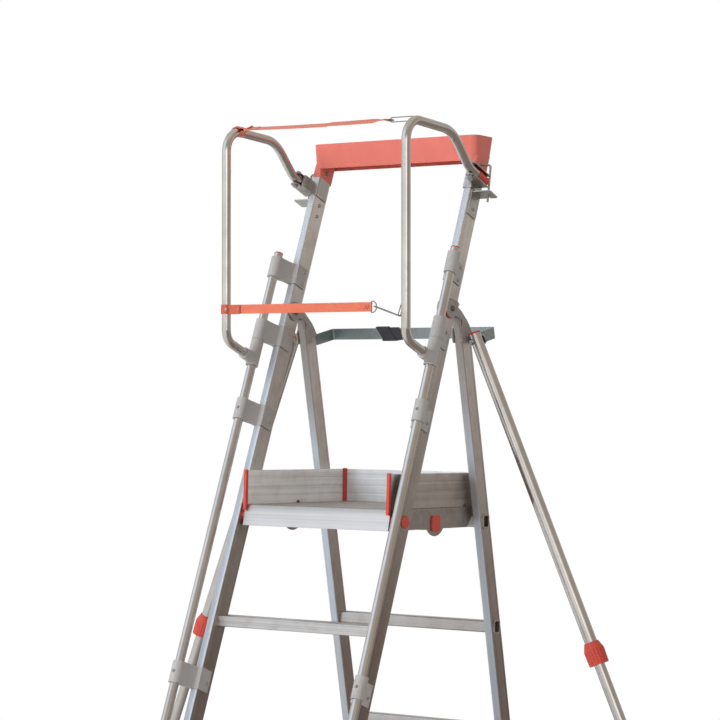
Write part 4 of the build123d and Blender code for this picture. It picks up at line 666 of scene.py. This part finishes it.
def make_piece(name, bm, body, material, replaced=()):
    """Turns a bmesh into a named piece that rides on a body and stands for CAD nodes."""
    mesh = bpy.data.meshes.new(name)
    bm.to_mesh(mesh)
    bm.free()
    mesh.materials.append(material)
    mesh.shade_smooth()
    mesh.set_sharp_from_angle(angle=SHARP)
    piece = bpy.data.objects.new(name, mesh)
    bpy.context.scene.collection.objects.link(piece)
    if body:
        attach(piece, body)
    if replaced:
        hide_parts(*replaced)
    return piece


def softened(name, material, radius):
    """Copy of a CAD node with its doubles merged, its flats joined and its sharp edges rounded over."""
    bm = bmesh.new()
    bm.from_mesh(frame["nodes"][name].data)
    bmesh.ops.remove_doubles(bm, verts=bm.verts, dist=MERGE_COPY)
    bmesh.ops.dissolve_limit(bm, angle_limit=FLAT, verts=bm.verts, edges=bm.edges)
    edges = [edge for edge in bm.edges if edge.is_manifold and edge.calc_face_angle() > ROUNDED
             and edge.calc_length() > SHORTEST_ROUNDED * radius]
    bmesh.ops.bevel(bm, geom=edges, offset=radius, offset_type="OFFSET", segments=2, profile=0.5,
                    affect="EDGES", material=-1, clamp_overlap=False)
    piece = make_piece(f"{name}_softened", bm, body_of[name], material, (name,))
    shading = piece.modifiers.new("even_shading", "WEIGHTED_NORMAL")
    shading.keep_sharp = True


for material, radius, names in finishes:
    for name in names:
        mesh = frame["nodes"][name].data
        mesh.materials.clear()
        mesh.materials.append(material)
        if radius:
            softened(name, material, radius)


def only(kind, items):
    return [item for item in items if isinstance(item, kind)]


def turned_to(place, direction):
    """Matrix that stands Z along a direction at a place."""
    return Matrix.Translation(place) @ direction.to_track_quat("Z", "Y").to_matrix().to_4x4()


def push(bm, edges, shift):
    """Extrudes edges along a shift and returns the new verts and edges."""
    grown = bmesh.ops.extrude_edge_only(bm, edges=edges)["geom"]
    verts = only(bmesh.types.BMVert, grown)
    bmesh.ops.translate(bm, verts=verts, vec=shift)
    made = only(bmesh.types.BMEdge, grown)
    return verts, [edge for edge in made if all(vert in verts for vert in edge.verts)]


def tube_along(bm, points, bends, radius, sides=TUBE_SIDES, steps=TUBE_STEPS, closed=False):
    """Round tube along straight runs joined by tangent arcs, capped at its ends or joined up."""
    points = [Vector(point) for point in points]
    here = points[0]
    heading = (points[1] - here).normalized()
    made = bmesh.ops.create_circle(bm, segments=sides, radius=radius, matrix=turned_to(here, heading))
    edges = list({edge for vert in made["verts"] for edge in vert.link_edges})
    if not closed:
        bmesh.ops.contextual_create(bm, geom=edges)
    for corner, after, bend in zip(points[1:-1], points[2:], bends):
        turned = (after - corner).normalized()
        angle = heading.angle(turned)
        setback = bend * tan(angle / 2)
        start = corner - heading * setback
        verts, edges = push(bm, edges, start - here)
        axis = heading.cross(turned).normalized()
        centre = start + axis.cross(heading) * bend
        spun = bmesh.ops.spin(bm, geom=verts + edges, cent=centre, axis=axis, angle=angle, steps=steps)
        edges = only(bmesh.types.BMEdge, spun["geom_last"])
        here = corner + turned * setback
        heading = turned
    verts, edges = push(bm, edges, points[-1] - here)
    if not closed:
        bmesh.ops.contextual_create(bm, geom=edges)
    bmesh.ops.remove_doubles(bm, verts=bm.verts, dist=MERGE_TUBE)
    bmesh.ops.recalc_face_normals(bm, faces=bm.faces)


def wire_piece(name, points, bends, radius, body, replaced=(), closed=False):
    """Bent wire on a body."""
    bm = bmesh.new()
    tube_along(bm, points, bends, radius, WIRE_SIDES, WIRE_STEPS, closed)
    make_piece(name, bm, body, wire_steel, replaced)


# Guard rails: one smooth bent tube each
arm_line = on_stile(0, RAIL_DEPTH, ARM_LEVEL)
tail_line = on_stile(0, RAIL_DEPTH, TAIL_LEVEL)
back_slope = tan(STILE_LEAN)
guard_top = tail_line.z + GUARD_RISE
guard_front = tail_line.y - GUARD_REACH
guard_low_front = guard_front + GUARD_RAKE
guard_shoulder = tail_line.y - SHOULDER_REACH
shoulder_z = guard_top - GUARD_FALL
arm_corner_z = arm_line.z + (arm_line.y - guard_low_front) * back_slope
shoulder_run = (shoulder_z - tail_line.z - SHOULDER_REACH * back_slope) / (1 - back_slope)


def rail_route(x):
    return (
        on_stile(x, RAIL_DEPTH - ARM_SEAT, ARM_LEVEL),
        Vector((x, guard_low_front, arm_corner_z)),
        Vector((x, guard_front, guard_top)),
        Vector((x, guard_shoulder, shoulder_z)),
        Vector((x, guard_shoulder + shoulder_run, shoulder_z - shoulder_run)),
        on_stile(x, TAIL_STOP, TAIL_LEVEL),
    )


for side, name in SIDES:
    bm = bmesh.new()
    tube_along(bm, rail_route(side * RAIL_X), GUARD_BENDS, TUBE_RADIUS)
    make_piece(f"{name}_guard_tube", bm, f"{name}_guard_rail", tube_metal, (f"{name}_guard_rail",))


# Webbing straps: each in two halves that meet in the middle
upper_loop = Vector((0, guard_front + UPPER_STRAP_BACK, 0))
upper_loop.z = guard_top - GUARD_FALL * UPPER_STRAP_BACK / (guard_shoulder - guard_front)
lower_loop = Vector((0, 0, guard_top - LOWER_STRAP_DROP))
lower_loop.y = guard_front + LOWER_STRAP_DROP * GUARD_RAKE / (guard_top - arm_corner_z)


def band_from(bm, path, outward, width, thickness, breadth_steps=8):
    """Band of webbing along a path: extruded across its width, with a UV map in metres, and thickened."""
    uv = bm.loops.layers.uv.new("band")
    start = [bm.verts.new(point - outward * width / 2) for point in path]
    edges = [bm.edges.new(pair) for pair in zip(start, start[1:])]
    run_of = {start[0]: 0.0}
    for before, after in zip(start, start[1:]):
        run_of[after] = run_of[before] + (after.co - before.co).length
    breadth_of = {vert: 0.0 for vert in start}
    for step in range(breadth_steps):
        verts, edges = push(bm, edges, outward * (width / breadth_steps))
        roots = [next(edge.other_vert(vert) for edge in vert.link_edges if edge.other_vert(vert) in run_of)
                 for vert in verts]
        for vert, root in zip(verts, roots):
            run_of[vert] = run_of[root]
            breadth_of[vert] = breadth_of[root] + width / breadth_steps
    for face in bm.faces:
        for loop in face.loops:
            loop[uv].uv = (run_of[loop.vert], breadth_of[loop.vert])
    bmesh.ops.recalc_face_normals(bm, faces=bm.faces)
    bmesh.ops.solidify(bm, geom=bm.faces[:], thickness=thickness)
    bmesh.ops.recalc_face_normals(bm, faces=bm.faces)


def arc(centre, u, v, radius, first, last, steps):
    """Points round a circle in the plane of u and v."""
    turns = [first + (last - first) * step / steps for step in range(steps + 1)]
    return [centre + u * (radius * cos(turn)) + v * (radius * sin(turn)) for turn in turns]


def run_along(line, first, last, steps, sag):
    """Points of a strap's run from one place across to another, sagging between the rail and the ring."""
    points = []
    for step in range(steps + 1):
        x = first + (last - first) * step / steps
        share = (x + RAIL_X) / (RAIL_X + RING_X)
        points.append(line + across * x - upward * (4 * sag * share * (1 - share)))
    return points


def left_half(loop, v, line, sag, turn):
    """Path from the sewn tail, round the left rail and along to the middle."""
    tail_places, tail_side, angles, (ease_x, ease_v) = turn
    rail = loop - across * RAIL_X
    tail = [line + across * (x * MM) + v * (tail_side * (WEB + TAIL_GAP)) for x in tail_places]
    wrap = arc(rail, across, v, TUBE_RADIUS + WEB / 2 + TURN_GAP, *angles, TURN_STEPS)
    ease = [rail + across * (ease_x * MM) + v * (ease_v * MM)]
    return tail + wrap + ease + run_along(line, -LEFT_RUN, 0.0, LEFT_STEPS, sag)


def right_half(v, line, sag):
    """Path from the middle to the ring, round its bar and back over the run."""
    ring = line + across * RING_X
    run = run_along(line, 0.0, RING_X - RING_SETBACK, RIGHT_STEPS, sag)
    wrap = arc(ring, across, v, RING_WIRE + WEB / 2 + RING_GAP, -RING_TURN, RING_TURN, RING_STEPS)
    tail = [line + across * (x * MM) + v * (WEB + RING_TAIL_GAP) for x in RING_TAIL]
    return run + wrap + tail


def twisted(bm, line, twist, skew):
    """Tilts a band more and more along its open run, and draws its left end forward along the rail."""
    for vert in bm.verts:
        x = vert.co.x
        ease = min(1.0, TWIST_FIRST + max(0.0, x - TWIST_START) / TWIST_GROWTH)
        ease *= clamped((x - TWIST_IN) / TWIST_IN_FADE) * clamped((TWIST_OUT - x) / TWIST_OUT_FADE)
        spin = Matrix.Rotation(twist * ease, 3, "X")
        share = clamped((RING_X - x) / (RING_X - SKEW_END))
        vert.co = line + across * x + spin @ (vert.co - line - across * x) + skew * share


upper_line = upper_loop + upward * UPPER_STRAP_LIFT
for label, loop, v, line, outward, sag, turn, twist, skew in (
    ("upper", upper_loop, upward, upper_line, rearward, UPPER_SAG, UPPER_TURN, UPPER_TWIST, KNOT_SHIFT),
    ("lower", lower_loop, -rearward, lower_loop, upward, 0.0, LOWER_TURN, 0.0, Vector((0, 0, 0))),
):
    node = f"{label}_strap"
    bm = bmesh.new()
    band_from(bm, left_half(loop, v, line, sag, turn), outward, STRAP_WIDTH, WEB)
    twisted(bm, line, twist, skew)
    piece = make_piece(f"{label}_strap_left", bm, None, webbing, (node,))
    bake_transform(piece)
    bm = bmesh.new()
    band_from(bm, right_half(v, line, sag), outward, STRAP_WIDTH, WEB)
    twisted(bm, line, twist, skew)
    piece = make_piece(f"{label}_strap_right", bm, None, webbing, (node,))
    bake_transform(piece)


def off(origin, places):
    """Points at the given millimetres from an origin."""
    return [origin + Vector(place) * MM for place in places]


# Hitch of the upper strap: a folded turn over the rail, and the flap of its end
knot = upper_loop + KNOT_SHIFT
hitch_rail = knot - across * RAIL_X
hitch = []
for point in arc(hitch_rail, across, upward, TUBE_RADIUS + 2.5 * WEB, *HITCH_ANGLES, HITCH_STEPS):
    hitch.append(point + rearward * (HITCH_BACK + HITCH_SLANT * (point.x - hitch_rail.x)))
hitch += off(knot, HITCH_END)
flap = off(knot, FLAP_ROUTE)
for label, route, width in (("hitch", hitch, HITCH_WIDTH), ("flap", flap, FLAP_WIDTH)):
    bm = bmesh.new()
    band_from(bm, route, rearward, width, WEB, SLIM_STEPS)
    make_piece(f"upper_strap_{label}", bm, "left_guard_rail", webbing)

# Fold of the lower strap, sewn over its run in front of the left rail
fold_rail = lower_loop - across * RAIL_X
fold_route = arc(fold_rail, across, -rearward, TUBE_RADIUS + 2 * WEB + FOLD_GAP, *FOLD_ANGLES, FOLD_STEPS)
fold_route += off(lower_loop, FOLD_END)
bm = bmesh.new()
band_from(bm, fold_route, upward, STRAP_WIDTH + FOLD_OVERLAP, WEB)
make_piece("lower_strap_fold", bm, "left_guard_rail", shaded_fold_webbing)

# Stitching that closes the folds: a zigzag of thread on the outer face
for label, body, (first, last), height in (
    ("ring_fold", "right_guard_rail", RING_SEAM, 1.5 * WEB + THREAD),
    ("rail_fold", "left_guard_rail", RAIL_SEAM, 3.4 * WEB),
):
    route = []
    for step in range(STITCHES + 1):
        x = first + (last - first) * step / STITCHES
        z = STITCH_HALF if step % 2 else -STITCH_HALF
        route.append(lower_loop + across * x + upward * z - rearward * height)
    bm = bmesh.new()
    tube_along(bm, route, [THREAD_BEND] * (STITCHES - 1), THREAD, THREAD_SIDES, THREAD_STEPS)
    make_piece(f"{label}_stitching", bm, body, stitch_thread)


# Rings, eyes and snap hooks of round wire on the right rail
eye_ends = (
    ("upper", upper_line, rearward, Vector((EYE_NEAR, 0, -UPPER_EYE_DIP)), Vector((EYE_FAR, 0, 0)),
     (rearward + upward).normalized()),
    ("lower", lower_loop, upward, Vector((EYE_NEAR + LOWER_EYE_SHIFT, 0, -EYE_HANG - LOWER_EYE_DROP)),
     Vector((EYE_FAR, 0, LOWER_EYE_RISE)), None),
)
for label, line, breadth, eye_low, eye_high, eye_side in eye_ends:
    near = line + across * RING_X
    far = line + across * (RING_FAR + RING_BULGE)
    half = breadth * RING_HALF
    ring = (near, near + half, far + half, far - half, near - half, near)
    wire_piece(f"{label}_ring", ring, RING_BENDS, RING_WIRE, "right_guard_rail", ("strap_rings",),
               closed=True)
    low, high = line + eye_low, line + eye_high
    side = (eye_side or (high - low).cross(rearward).normalized()) * EYE_HALF
    middle = (low + high) / 2 + side
    eye = (middle, high + side, high - side, low - side, low + side, middle)
    wire_piece(f"{label}_eye", eye, EYE_BENDS, HOOK_WIRE, "right_guard_rail", ("strap_rings",),
               closed=True)

for label, line, hang in (("upper", upper_line, 0.0), ("lower", lower_loop, EYE_HANG)):
    ring_wire = line + across * RING_FAR
    eye_wire = line + across * EYE_NEAR - upward * hang
    run = eye_wire - ring_wire
    along = run.normalized()
    over = rearward if hang else -upward
    half = run.length / 2 + HOOK_OVER - HOOK_WIRE
    middle = (ring_wire + eye_wire) / 2 - along * HOOK_SHIFT
    side = HOOK_WIDTH / 2
    gate_far = half + HOOK_WIRE - GATE_SETBACK
    gate_near = gate_far - GATE_LENGTH
    tip = half + (HOOK_STRETCH if hang else 0)
    hook_route = ((gate_far, side), (tip, side), (tip, -side), (-half, -side), (-half, side),
                  (gate_near, side))
    hook = [middle + along * s + over * t for s, t in hook_route]
    wire_piece(f"{label}_snap_hook", hook, HOOK_BENDS, HOOK_WIRE, "right_guard_rail", ("strap_hooks",))
    gate = [middle + along * s + over * side for s in (gate_near + GATE_GAP, gate_far - GATE_GAP)]
    wire_piece(f"{label}_gate_wire", gate, (), GATE_WIRE, f"{label}_gate", (f"{label}_hook_gate",))


# Tie: a soft band wound twice round the carrier's back wall, each turn slanting across the last
def tie_path():
    """Winds round the wall from its front face, shifting along it as each turn crosses the front."""
    points = []
    for turn in range(TIE_TURNS):
        grown = turn * TIE_GROWTH
        middle = TIE_X + TIE_FIRST - turn * TIE_PITCH
        for depth_sign, level_sign, shift in TIE_CORNERS:
            points.append(on_leg(middle + shift * MM, CARRIER_WALL + depth_sign * (TIE_DEEP + grown),
                                 CARRIER_MIDDLE + level_sign * (TIE_HIGH + grown)))
    end_x, end_depth, end_level = TIE_END
    points.append(on_leg(TIE_X + end_x, CARRIER_WALL + end_depth, CARRIER_MIDDLE + end_level))
    dense = []
    for before, after in zip(points, points[1:]):
        dense.extend(before.lerp(after, step / TIE_PARTS) for step in range(TIE_PARTS))
    return dense + points[-1:]


bm = bmesh.new()
band_from(bm, tie_path(), across, TIE_WIDTH, TIE_SHEET, TIE_STEPS)
make_piece("carrier_tie_band", bm, "rear_frame", tie_cloth, ("carrier_tie",))


# Handrails with their end caps, hinge rims and the outriggers' red caps, turned about their own axes
def turned_piece(name, profile, centre, axis, body, material, replaced=()):
    """Spins a profile of (radius, distance along the axis) pairs round an axis."""
    bm = bmesh.new()
    side = axis.orthogonal().normalized()
    verts = [bm.verts.new(centre + side * (radius * MM) + axis * (reach * MM)) for radius, reach in profile]
    edges = [bm.edges.new(pair) for pair in zip(verts, verts[1:])]
    bmesh.ops.spin(bm, geom=verts + edges, cent=centre, axis=axis, angle=2 * pi, steps=TUBE_SIDES,
                   use_merge=True)
    bmesh.ops.remove_doubles(bm, verts=bm.verts, dist=MERGE_TURNED)
    bmesh.ops.recalc_face_normals(bm, faces=bm.faces)
    make_piece(name, bm, body, material, replaced)


for side, name in SIDES:
    low_end = on_stile(side * RAIL_X, RAIL_DEPTH, HANDRAIL_LOW)
    high_end = on_stile(side * RAIL_X, RAIL_DEPTH, HANDRAIL_HIGH)
    bm = bmesh.new()
    tube_along(bm, (low_end, high_end), (), TUBE_RADIUS)
    make_piece(f"{name}_handrail_tube", bm, "front_frame", tube_metal, (f"{name}_handrail",))
    for place, end, axis in (("low", low_end, -stile_up), ("high", high_end, stile_up)):
        turned_piece(f"{name}_handrail_{place}_cap", END_CAP, end, axis, "front_frame",
                     red_plastic, ("handrail_caps",))

for side, name in SIDES:
    face = hinge + across * (side * (LEG_OUTER + FORK_SHEET))
    turned_piece(f"{name}_hinge_rim", RIM, face, across * side, "rear_frame", dark_plastic)
    turned_piece(f"{name}_hinge_shim", SHIM, face, across * side, "rear_frame", red_plastic)
    pivot = Vector(joint_of[f"{name}_outrigger_fold"]["pos_m"])
    along = Vector(joint_of[f"{name}_collar_twist"]["axis"]).normalized()
    turned_piece(f"{name}_outrigger_cap", CAP, pivot - along * CAP_DROP, along, f"{name}_outrigger",
                 red_plastic)

rivet_place = fold_rail + RIVET_WAY * (TUBE_RADIUS + 2.5 * WEB + RIVET_LIFT)
turned_piece("strap_rivet", RIVET, rivet_place, RIVET_WAY, "left_guard_rail", rivet_pale)

# Ribbed tread on the deck, cut back at the corner strips, and thin dark plates in the boards' notches as painted
# shadow
pan_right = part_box("platform_pan")[1][0]
left_board_low, left_board_high = (Vector(corner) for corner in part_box("left_toe_board"))
rear_board_low = Vector(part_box("rear_toe_board")[0])
deck_level = left_board_low.z
tread_half = -left_board_high.x - TREAD_GAP
tread_front = left_board_low.y + TREAD_SETBACK
tread_back = rear_board_low.y - TREAD_GAP
rib_pitch = (tread_back - tread_front) / TREAD_RIBS


def cut_off(bm, point, normal, **cleared):
    """Cuts the whole mesh by a plane and clears one side of it."""
    geom = bm.verts[:] + bm.edges[:] + bm.faces[:]
    bmesh.ops.bisect_plane(bm, geom=geom, plane_co=point, plane_no=normal, **cleared)


bm = bmesh.new()
ridge = []
for rib in range(TREAD_RIBS):
    for share, rise in RIB_PROFILE:
        y = tread_front + (rib + share) * rib_pitch
        ridge.append(bm.verts.new((-tread_half, y, deck_level + rise * TREAD_RISE)))
push(bm, [bm.edges.new(pair) for pair in zip(ridge, ridge[1:])], across * (2 * tread_half))
for side, name in SIDES:
    corner = Vector((side * tread_half, tread_back - TREAD_CORNER, deck_level))
    cut_off(bm, corner, Vector((side, 1, 0)).normalized(), clear_outer=True)
bmesh.ops.recalc_face_normals(bm, faces=bm.faces)
if sum(face.normal.z for face in bm.faces) < 0:
    bmesh.ops.reverse_faces(bm, faces=bm.faces)
grown = bmesh.ops.extrude_face_region(bm, geom=bm.faces[:])["geom"]
bmesh.ops.translate(bm, verts=only(bmesh.types.BMVert, grown), vec=upward * -TREAD_SHEET)
bmesh.ops.recalc_face_normals(bm, faces=bm.faces)
make_piece("deck_tread", bm, "platform", deck_metal)

for side, name in SIDES:
    middle = Vector((side * (pan_right - NOTCH_INSET), left_board_low.y + NOTCH_BACKS[name], deck_level))
    bm = bmesh.new()
    bmesh.ops.create_circle(bm, cap_ends=True, segments=NOTCH_SIDES, radius=NOTCH_RADIUS,
                            matrix=turned_to(middle, across))
    cut_off(bm, middle, upward, clear_inner=True)
    bmesh.ops.solidify(bm, geom=bm.faces[:], thickness=NOTCH_SHEET)
    bmesh.ops.recalc_face_normals(bm, faces=bm.faces)
    make_piece(f"{name}_notch_shadow_plate", bm, "platform", notch_painted_shadow)


# Stage: pale floor that fades to the white background, soft lamps and the camera
WHITE = (1, 1, 1, 1)
FLOOR_SIZE = 60
FLOOR_GREY = (0.86, 0.86, 0.86, 1)
FLOOR_FADE = (1.2, 3.4)
FLOOR_WAY = (-0.8, -0.6, 0)
FLOOR_TURN = (-0.6, 1.4)
ROOM_FLOOR_BEHIND = (0.27, 0.225, 0.20, 1)
ROOM_FLOOR_AHEAD = (0.80, 0.79, 0.79, 1)

# Room that the metal reflects, by direction round the ladder: left, front, right, behind, left
ROOM_WALLS = (
    (0.00, (0.70, 0.67, 0.64)),
    (0.07, (0.74, 0.71, 0.68)),
    (0.13, (1.02, 1.05, 1.10)),
    (0.17, (1.04, 1.07, 1.12)),
    (0.20, (0.86, 0.86, 0.86)),
    (0.25, (1.18, 1.18, 1.20)),
    (0.28, (0.74, 0.72, 0.70)),
    (0.30, (0.74, 0.72, 0.70)),
    (0.32, (1.55, 1.52, 1.47)),
    (0.39, (1.55, 1.50, 1.44)),
    (0.42, (0.62, 0.57, 0.52)),
    (0.46, (0.40, 0.355, 0.315)),
    (0.56, (0.38, 0.335, 0.30)),
    (0.61, (0.50, 0.45, 0.41)),
    (0.66, (0.52, 0.475, 0.435)),
    (0.73, (0.56, 0.53, 0.50)),
    (0.87, (0.90, 0.90, 0.90)),
    (1.00, (0.70, 0.67, 0.64)),
)
ROOM_CEILING = (
    (0.00, (0.60, 0.58, 0.56)),
    (0.09, (0.94, 1.04, 1.18)),
    (0.20, (0.94, 1.04, 1.18)),
    (0.26, (0.58, 0.56, 0.54)),
    (0.34, (0.46, 0.405, 0.355)),
    (0.62, (0.42, 0.37, 0.325)),
    (0.85, (0.58, 0.56, 0.53)),
    (1.00, (0.60, 0.58, 0.56)),
)
ROOM_ZENITH = (0.66, 0.60, 0.53, 1)
CEILING_RISE = (0.12, 0.5)
ZENITH_RISE = (0.66, 0.95)
AMBIENT = 0.42

# Lamps: place, power and tint
LAMP_SIZE = 4.0
LAMP_AIM = Vector((0, 0, 1.3))
LAMPS = {
    "key_lamp": ((-2.6, -5.4, 3.4), 330, (0.93, 0.97, 1.0)),
    "fill_lamp": ((5.4, -3.0, 3.4), 50, (1.0, 0.89, 0.78)),
    "top_lamp": ((-0.6, 3.4, 5.6), 60, (1.0, 1.0, 1.0)),
}


def cleared_tree(holder):
    """Empty node tree of a material or a world, with its light path's outputs."""
    holder.use_nodes = True
    holder.node_tree.nodes.clear()
    return holder.node_tree, put(holder.node_tree, "ShaderNodeLightPath").outputs


def studio_floor():
    """Pale floor that whitens far from the ladder; metal sees it brown behind and pale ahead."""
    material = bpy.data.materials.new("pale_floor")
    tree, light = cleared_tree(material)
    place = put(tree, "ShaderNodeTexCoord").outputs["Object"]
    reach = put(tree, "ShaderNodeVectorMath", {"operation": "LENGTH"})
    tree.links.new(place, reach.inputs[0])
    far = span(tree, reach.outputs["Value"], FLOOR_FADE, smooth=True)
    matte = put(tree, "ShaderNodeBsdfDiffuse", Color=FLOOR_GREY).outputs[0]
    glow = put(tree, "ShaderNodeEmission", Color=WHITE, Strength=1.0).outputs[0]
    seen = mix_shader(tree, maths(tree, "MULTIPLY", far, light["Is Camera Ray"]), matte, glow)
    side = span(tree, reach_along(tree, place, FLOOR_WAY), FLOOR_TURN, smooth=True)
    boards = blend_colour(tree, "MIX", side, ROOM_FLOOR_BEHIND, ROOM_FLOOR_AHEAD)
    mirrored = put(tree, "ShaderNodeEmission", Color=boards, Strength=1.0).outputs[0]
    shown = mix_shader(tree, light["Is Glossy Ray"], seen, mirrored)
    put(tree, "ShaderNodeOutputMaterial", Surface=shown)
    return material


bm = bmesh.new()
bmesh.ops.create_grid(bm, x_segments=1, y_segments=1, size=FLOOR_SIZE)
floor_mesh = bpy.data.meshes.new("studio_floor")
bm.to_mesh(floor_mesh)
bm.free()
floor_mesh.materials.append(studio_floor())
floor = bpy.data.objects.new("studio_floor", floor_mesh)
bpy.context.scene.collection.objects.link(floor)
floor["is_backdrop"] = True


def studio_world():
    """White for the camera; for reflections a room with pale windows, brown walls and a pale ceiling."""
    world = bpy.data.worlds.new("studio")
    tree, light = cleared_tree(world)
    way = put(tree, "ShaderNodeTexCoord").outputs["Generated"]
    parts = put(tree, "ShaderNodeSeparateXYZ", Vector=way).outputs
    turn = span(tree, maths(tree, "ARCTAN2", parts["Y"], parts["X"]), (-pi, pi))
    walls, ceiling = (ramp(tree, turn, stops) for stops in (ROOM_WALLS, ROOM_CEILING))
    room = blend_colour(tree, "MIX", span(tree, parts["Z"], CEILING_RISE, smooth=True), walls, ceiling)
    room = blend_colour(tree, "MIX", span(tree, parts["Z"], ZENITH_RISE, smooth=True), room, ROOM_ZENITH)
    seen = blend_colour(tree, "MIX", light["Is Camera Ray"], room, WHITE)
    direct = maths(tree, "MAXIMUM", light["Is Camera Ray"], light["Is Glossy Ray"])
    through = maths(tree, "MAXIMUM", direct, light["Is Transmission Ray"])
    ambient = put(tree, "ShaderNodeBackground", Color=WHITE, Strength=AMBIENT).outputs[0]
    backdrop = put(tree, "ShaderNodeBackground", Color=seen, Strength=1.0).outputs[0]
    put(tree, "ShaderNodeOutputWorld", Surface=mix_shader(tree, through, ambient, backdrop))
    return world


bpy.context.scene.world = studio_world()

for name, (place, power, tint) in LAMPS.items():
    lamp_data = bpy.data.lights.new(name, "AREA")
    lamp_data.shape = "DISK"
    lamp_data.size = LAMP_SIZE
    lamp_data.energy = power
    lamp_data.color = tint
    lamp = bpy.data.objects.new(name, lamp_data)
    lamp.location = place
    lamp.visible_glossy = False
    lamp.rotation_mode = "QUATERNION"
    lamp.rotation_quaternion = (LAMP_AIM - Vector(place)).to_track_quat("-Z", "Y")
    bpy.context.scene.collection.objects.link(lamp)

camera_data = bpy.data.cameras.new("photo_camera")
camera_data.sensor_width = CAMERA_SENSOR
camera_data.lens = CAMERA_LENS
camera = bpy.data.objects.new("photo_camera", camera_data)
level_right = Vector((cos(CAMERA_AZIMUTH), sin(CAMERA_AZIMUTH), 0))
level_look = Vector((-sin(CAMERA_AZIMUTH), cos(CAMERA_AZIMUTH), 0))
look = level_look * cos(CAMERA_ELEVATION) + upward * sin(CAMERA_ELEVATION)
level_up = level_right.cross(look)
right = level_right * cos(CAMERA_ROLL) + level_up * sin(CAMERA_ROLL)
up = level_up * cos(CAMERA_ROLL) - level_right * sin(CAMERA_ROLL)
turn = Matrix((right, up, -look)).transposed()
camera.matrix_world = Matrix.Translation(CAMERA_PLACE) @ turn.to_4x4()
bpy.context.scene.collection.objects.link(camera)
bpy.context.scene.camera = camera
bpy.context.scene.view_settings.view_transform = "Standard"

low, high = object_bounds()
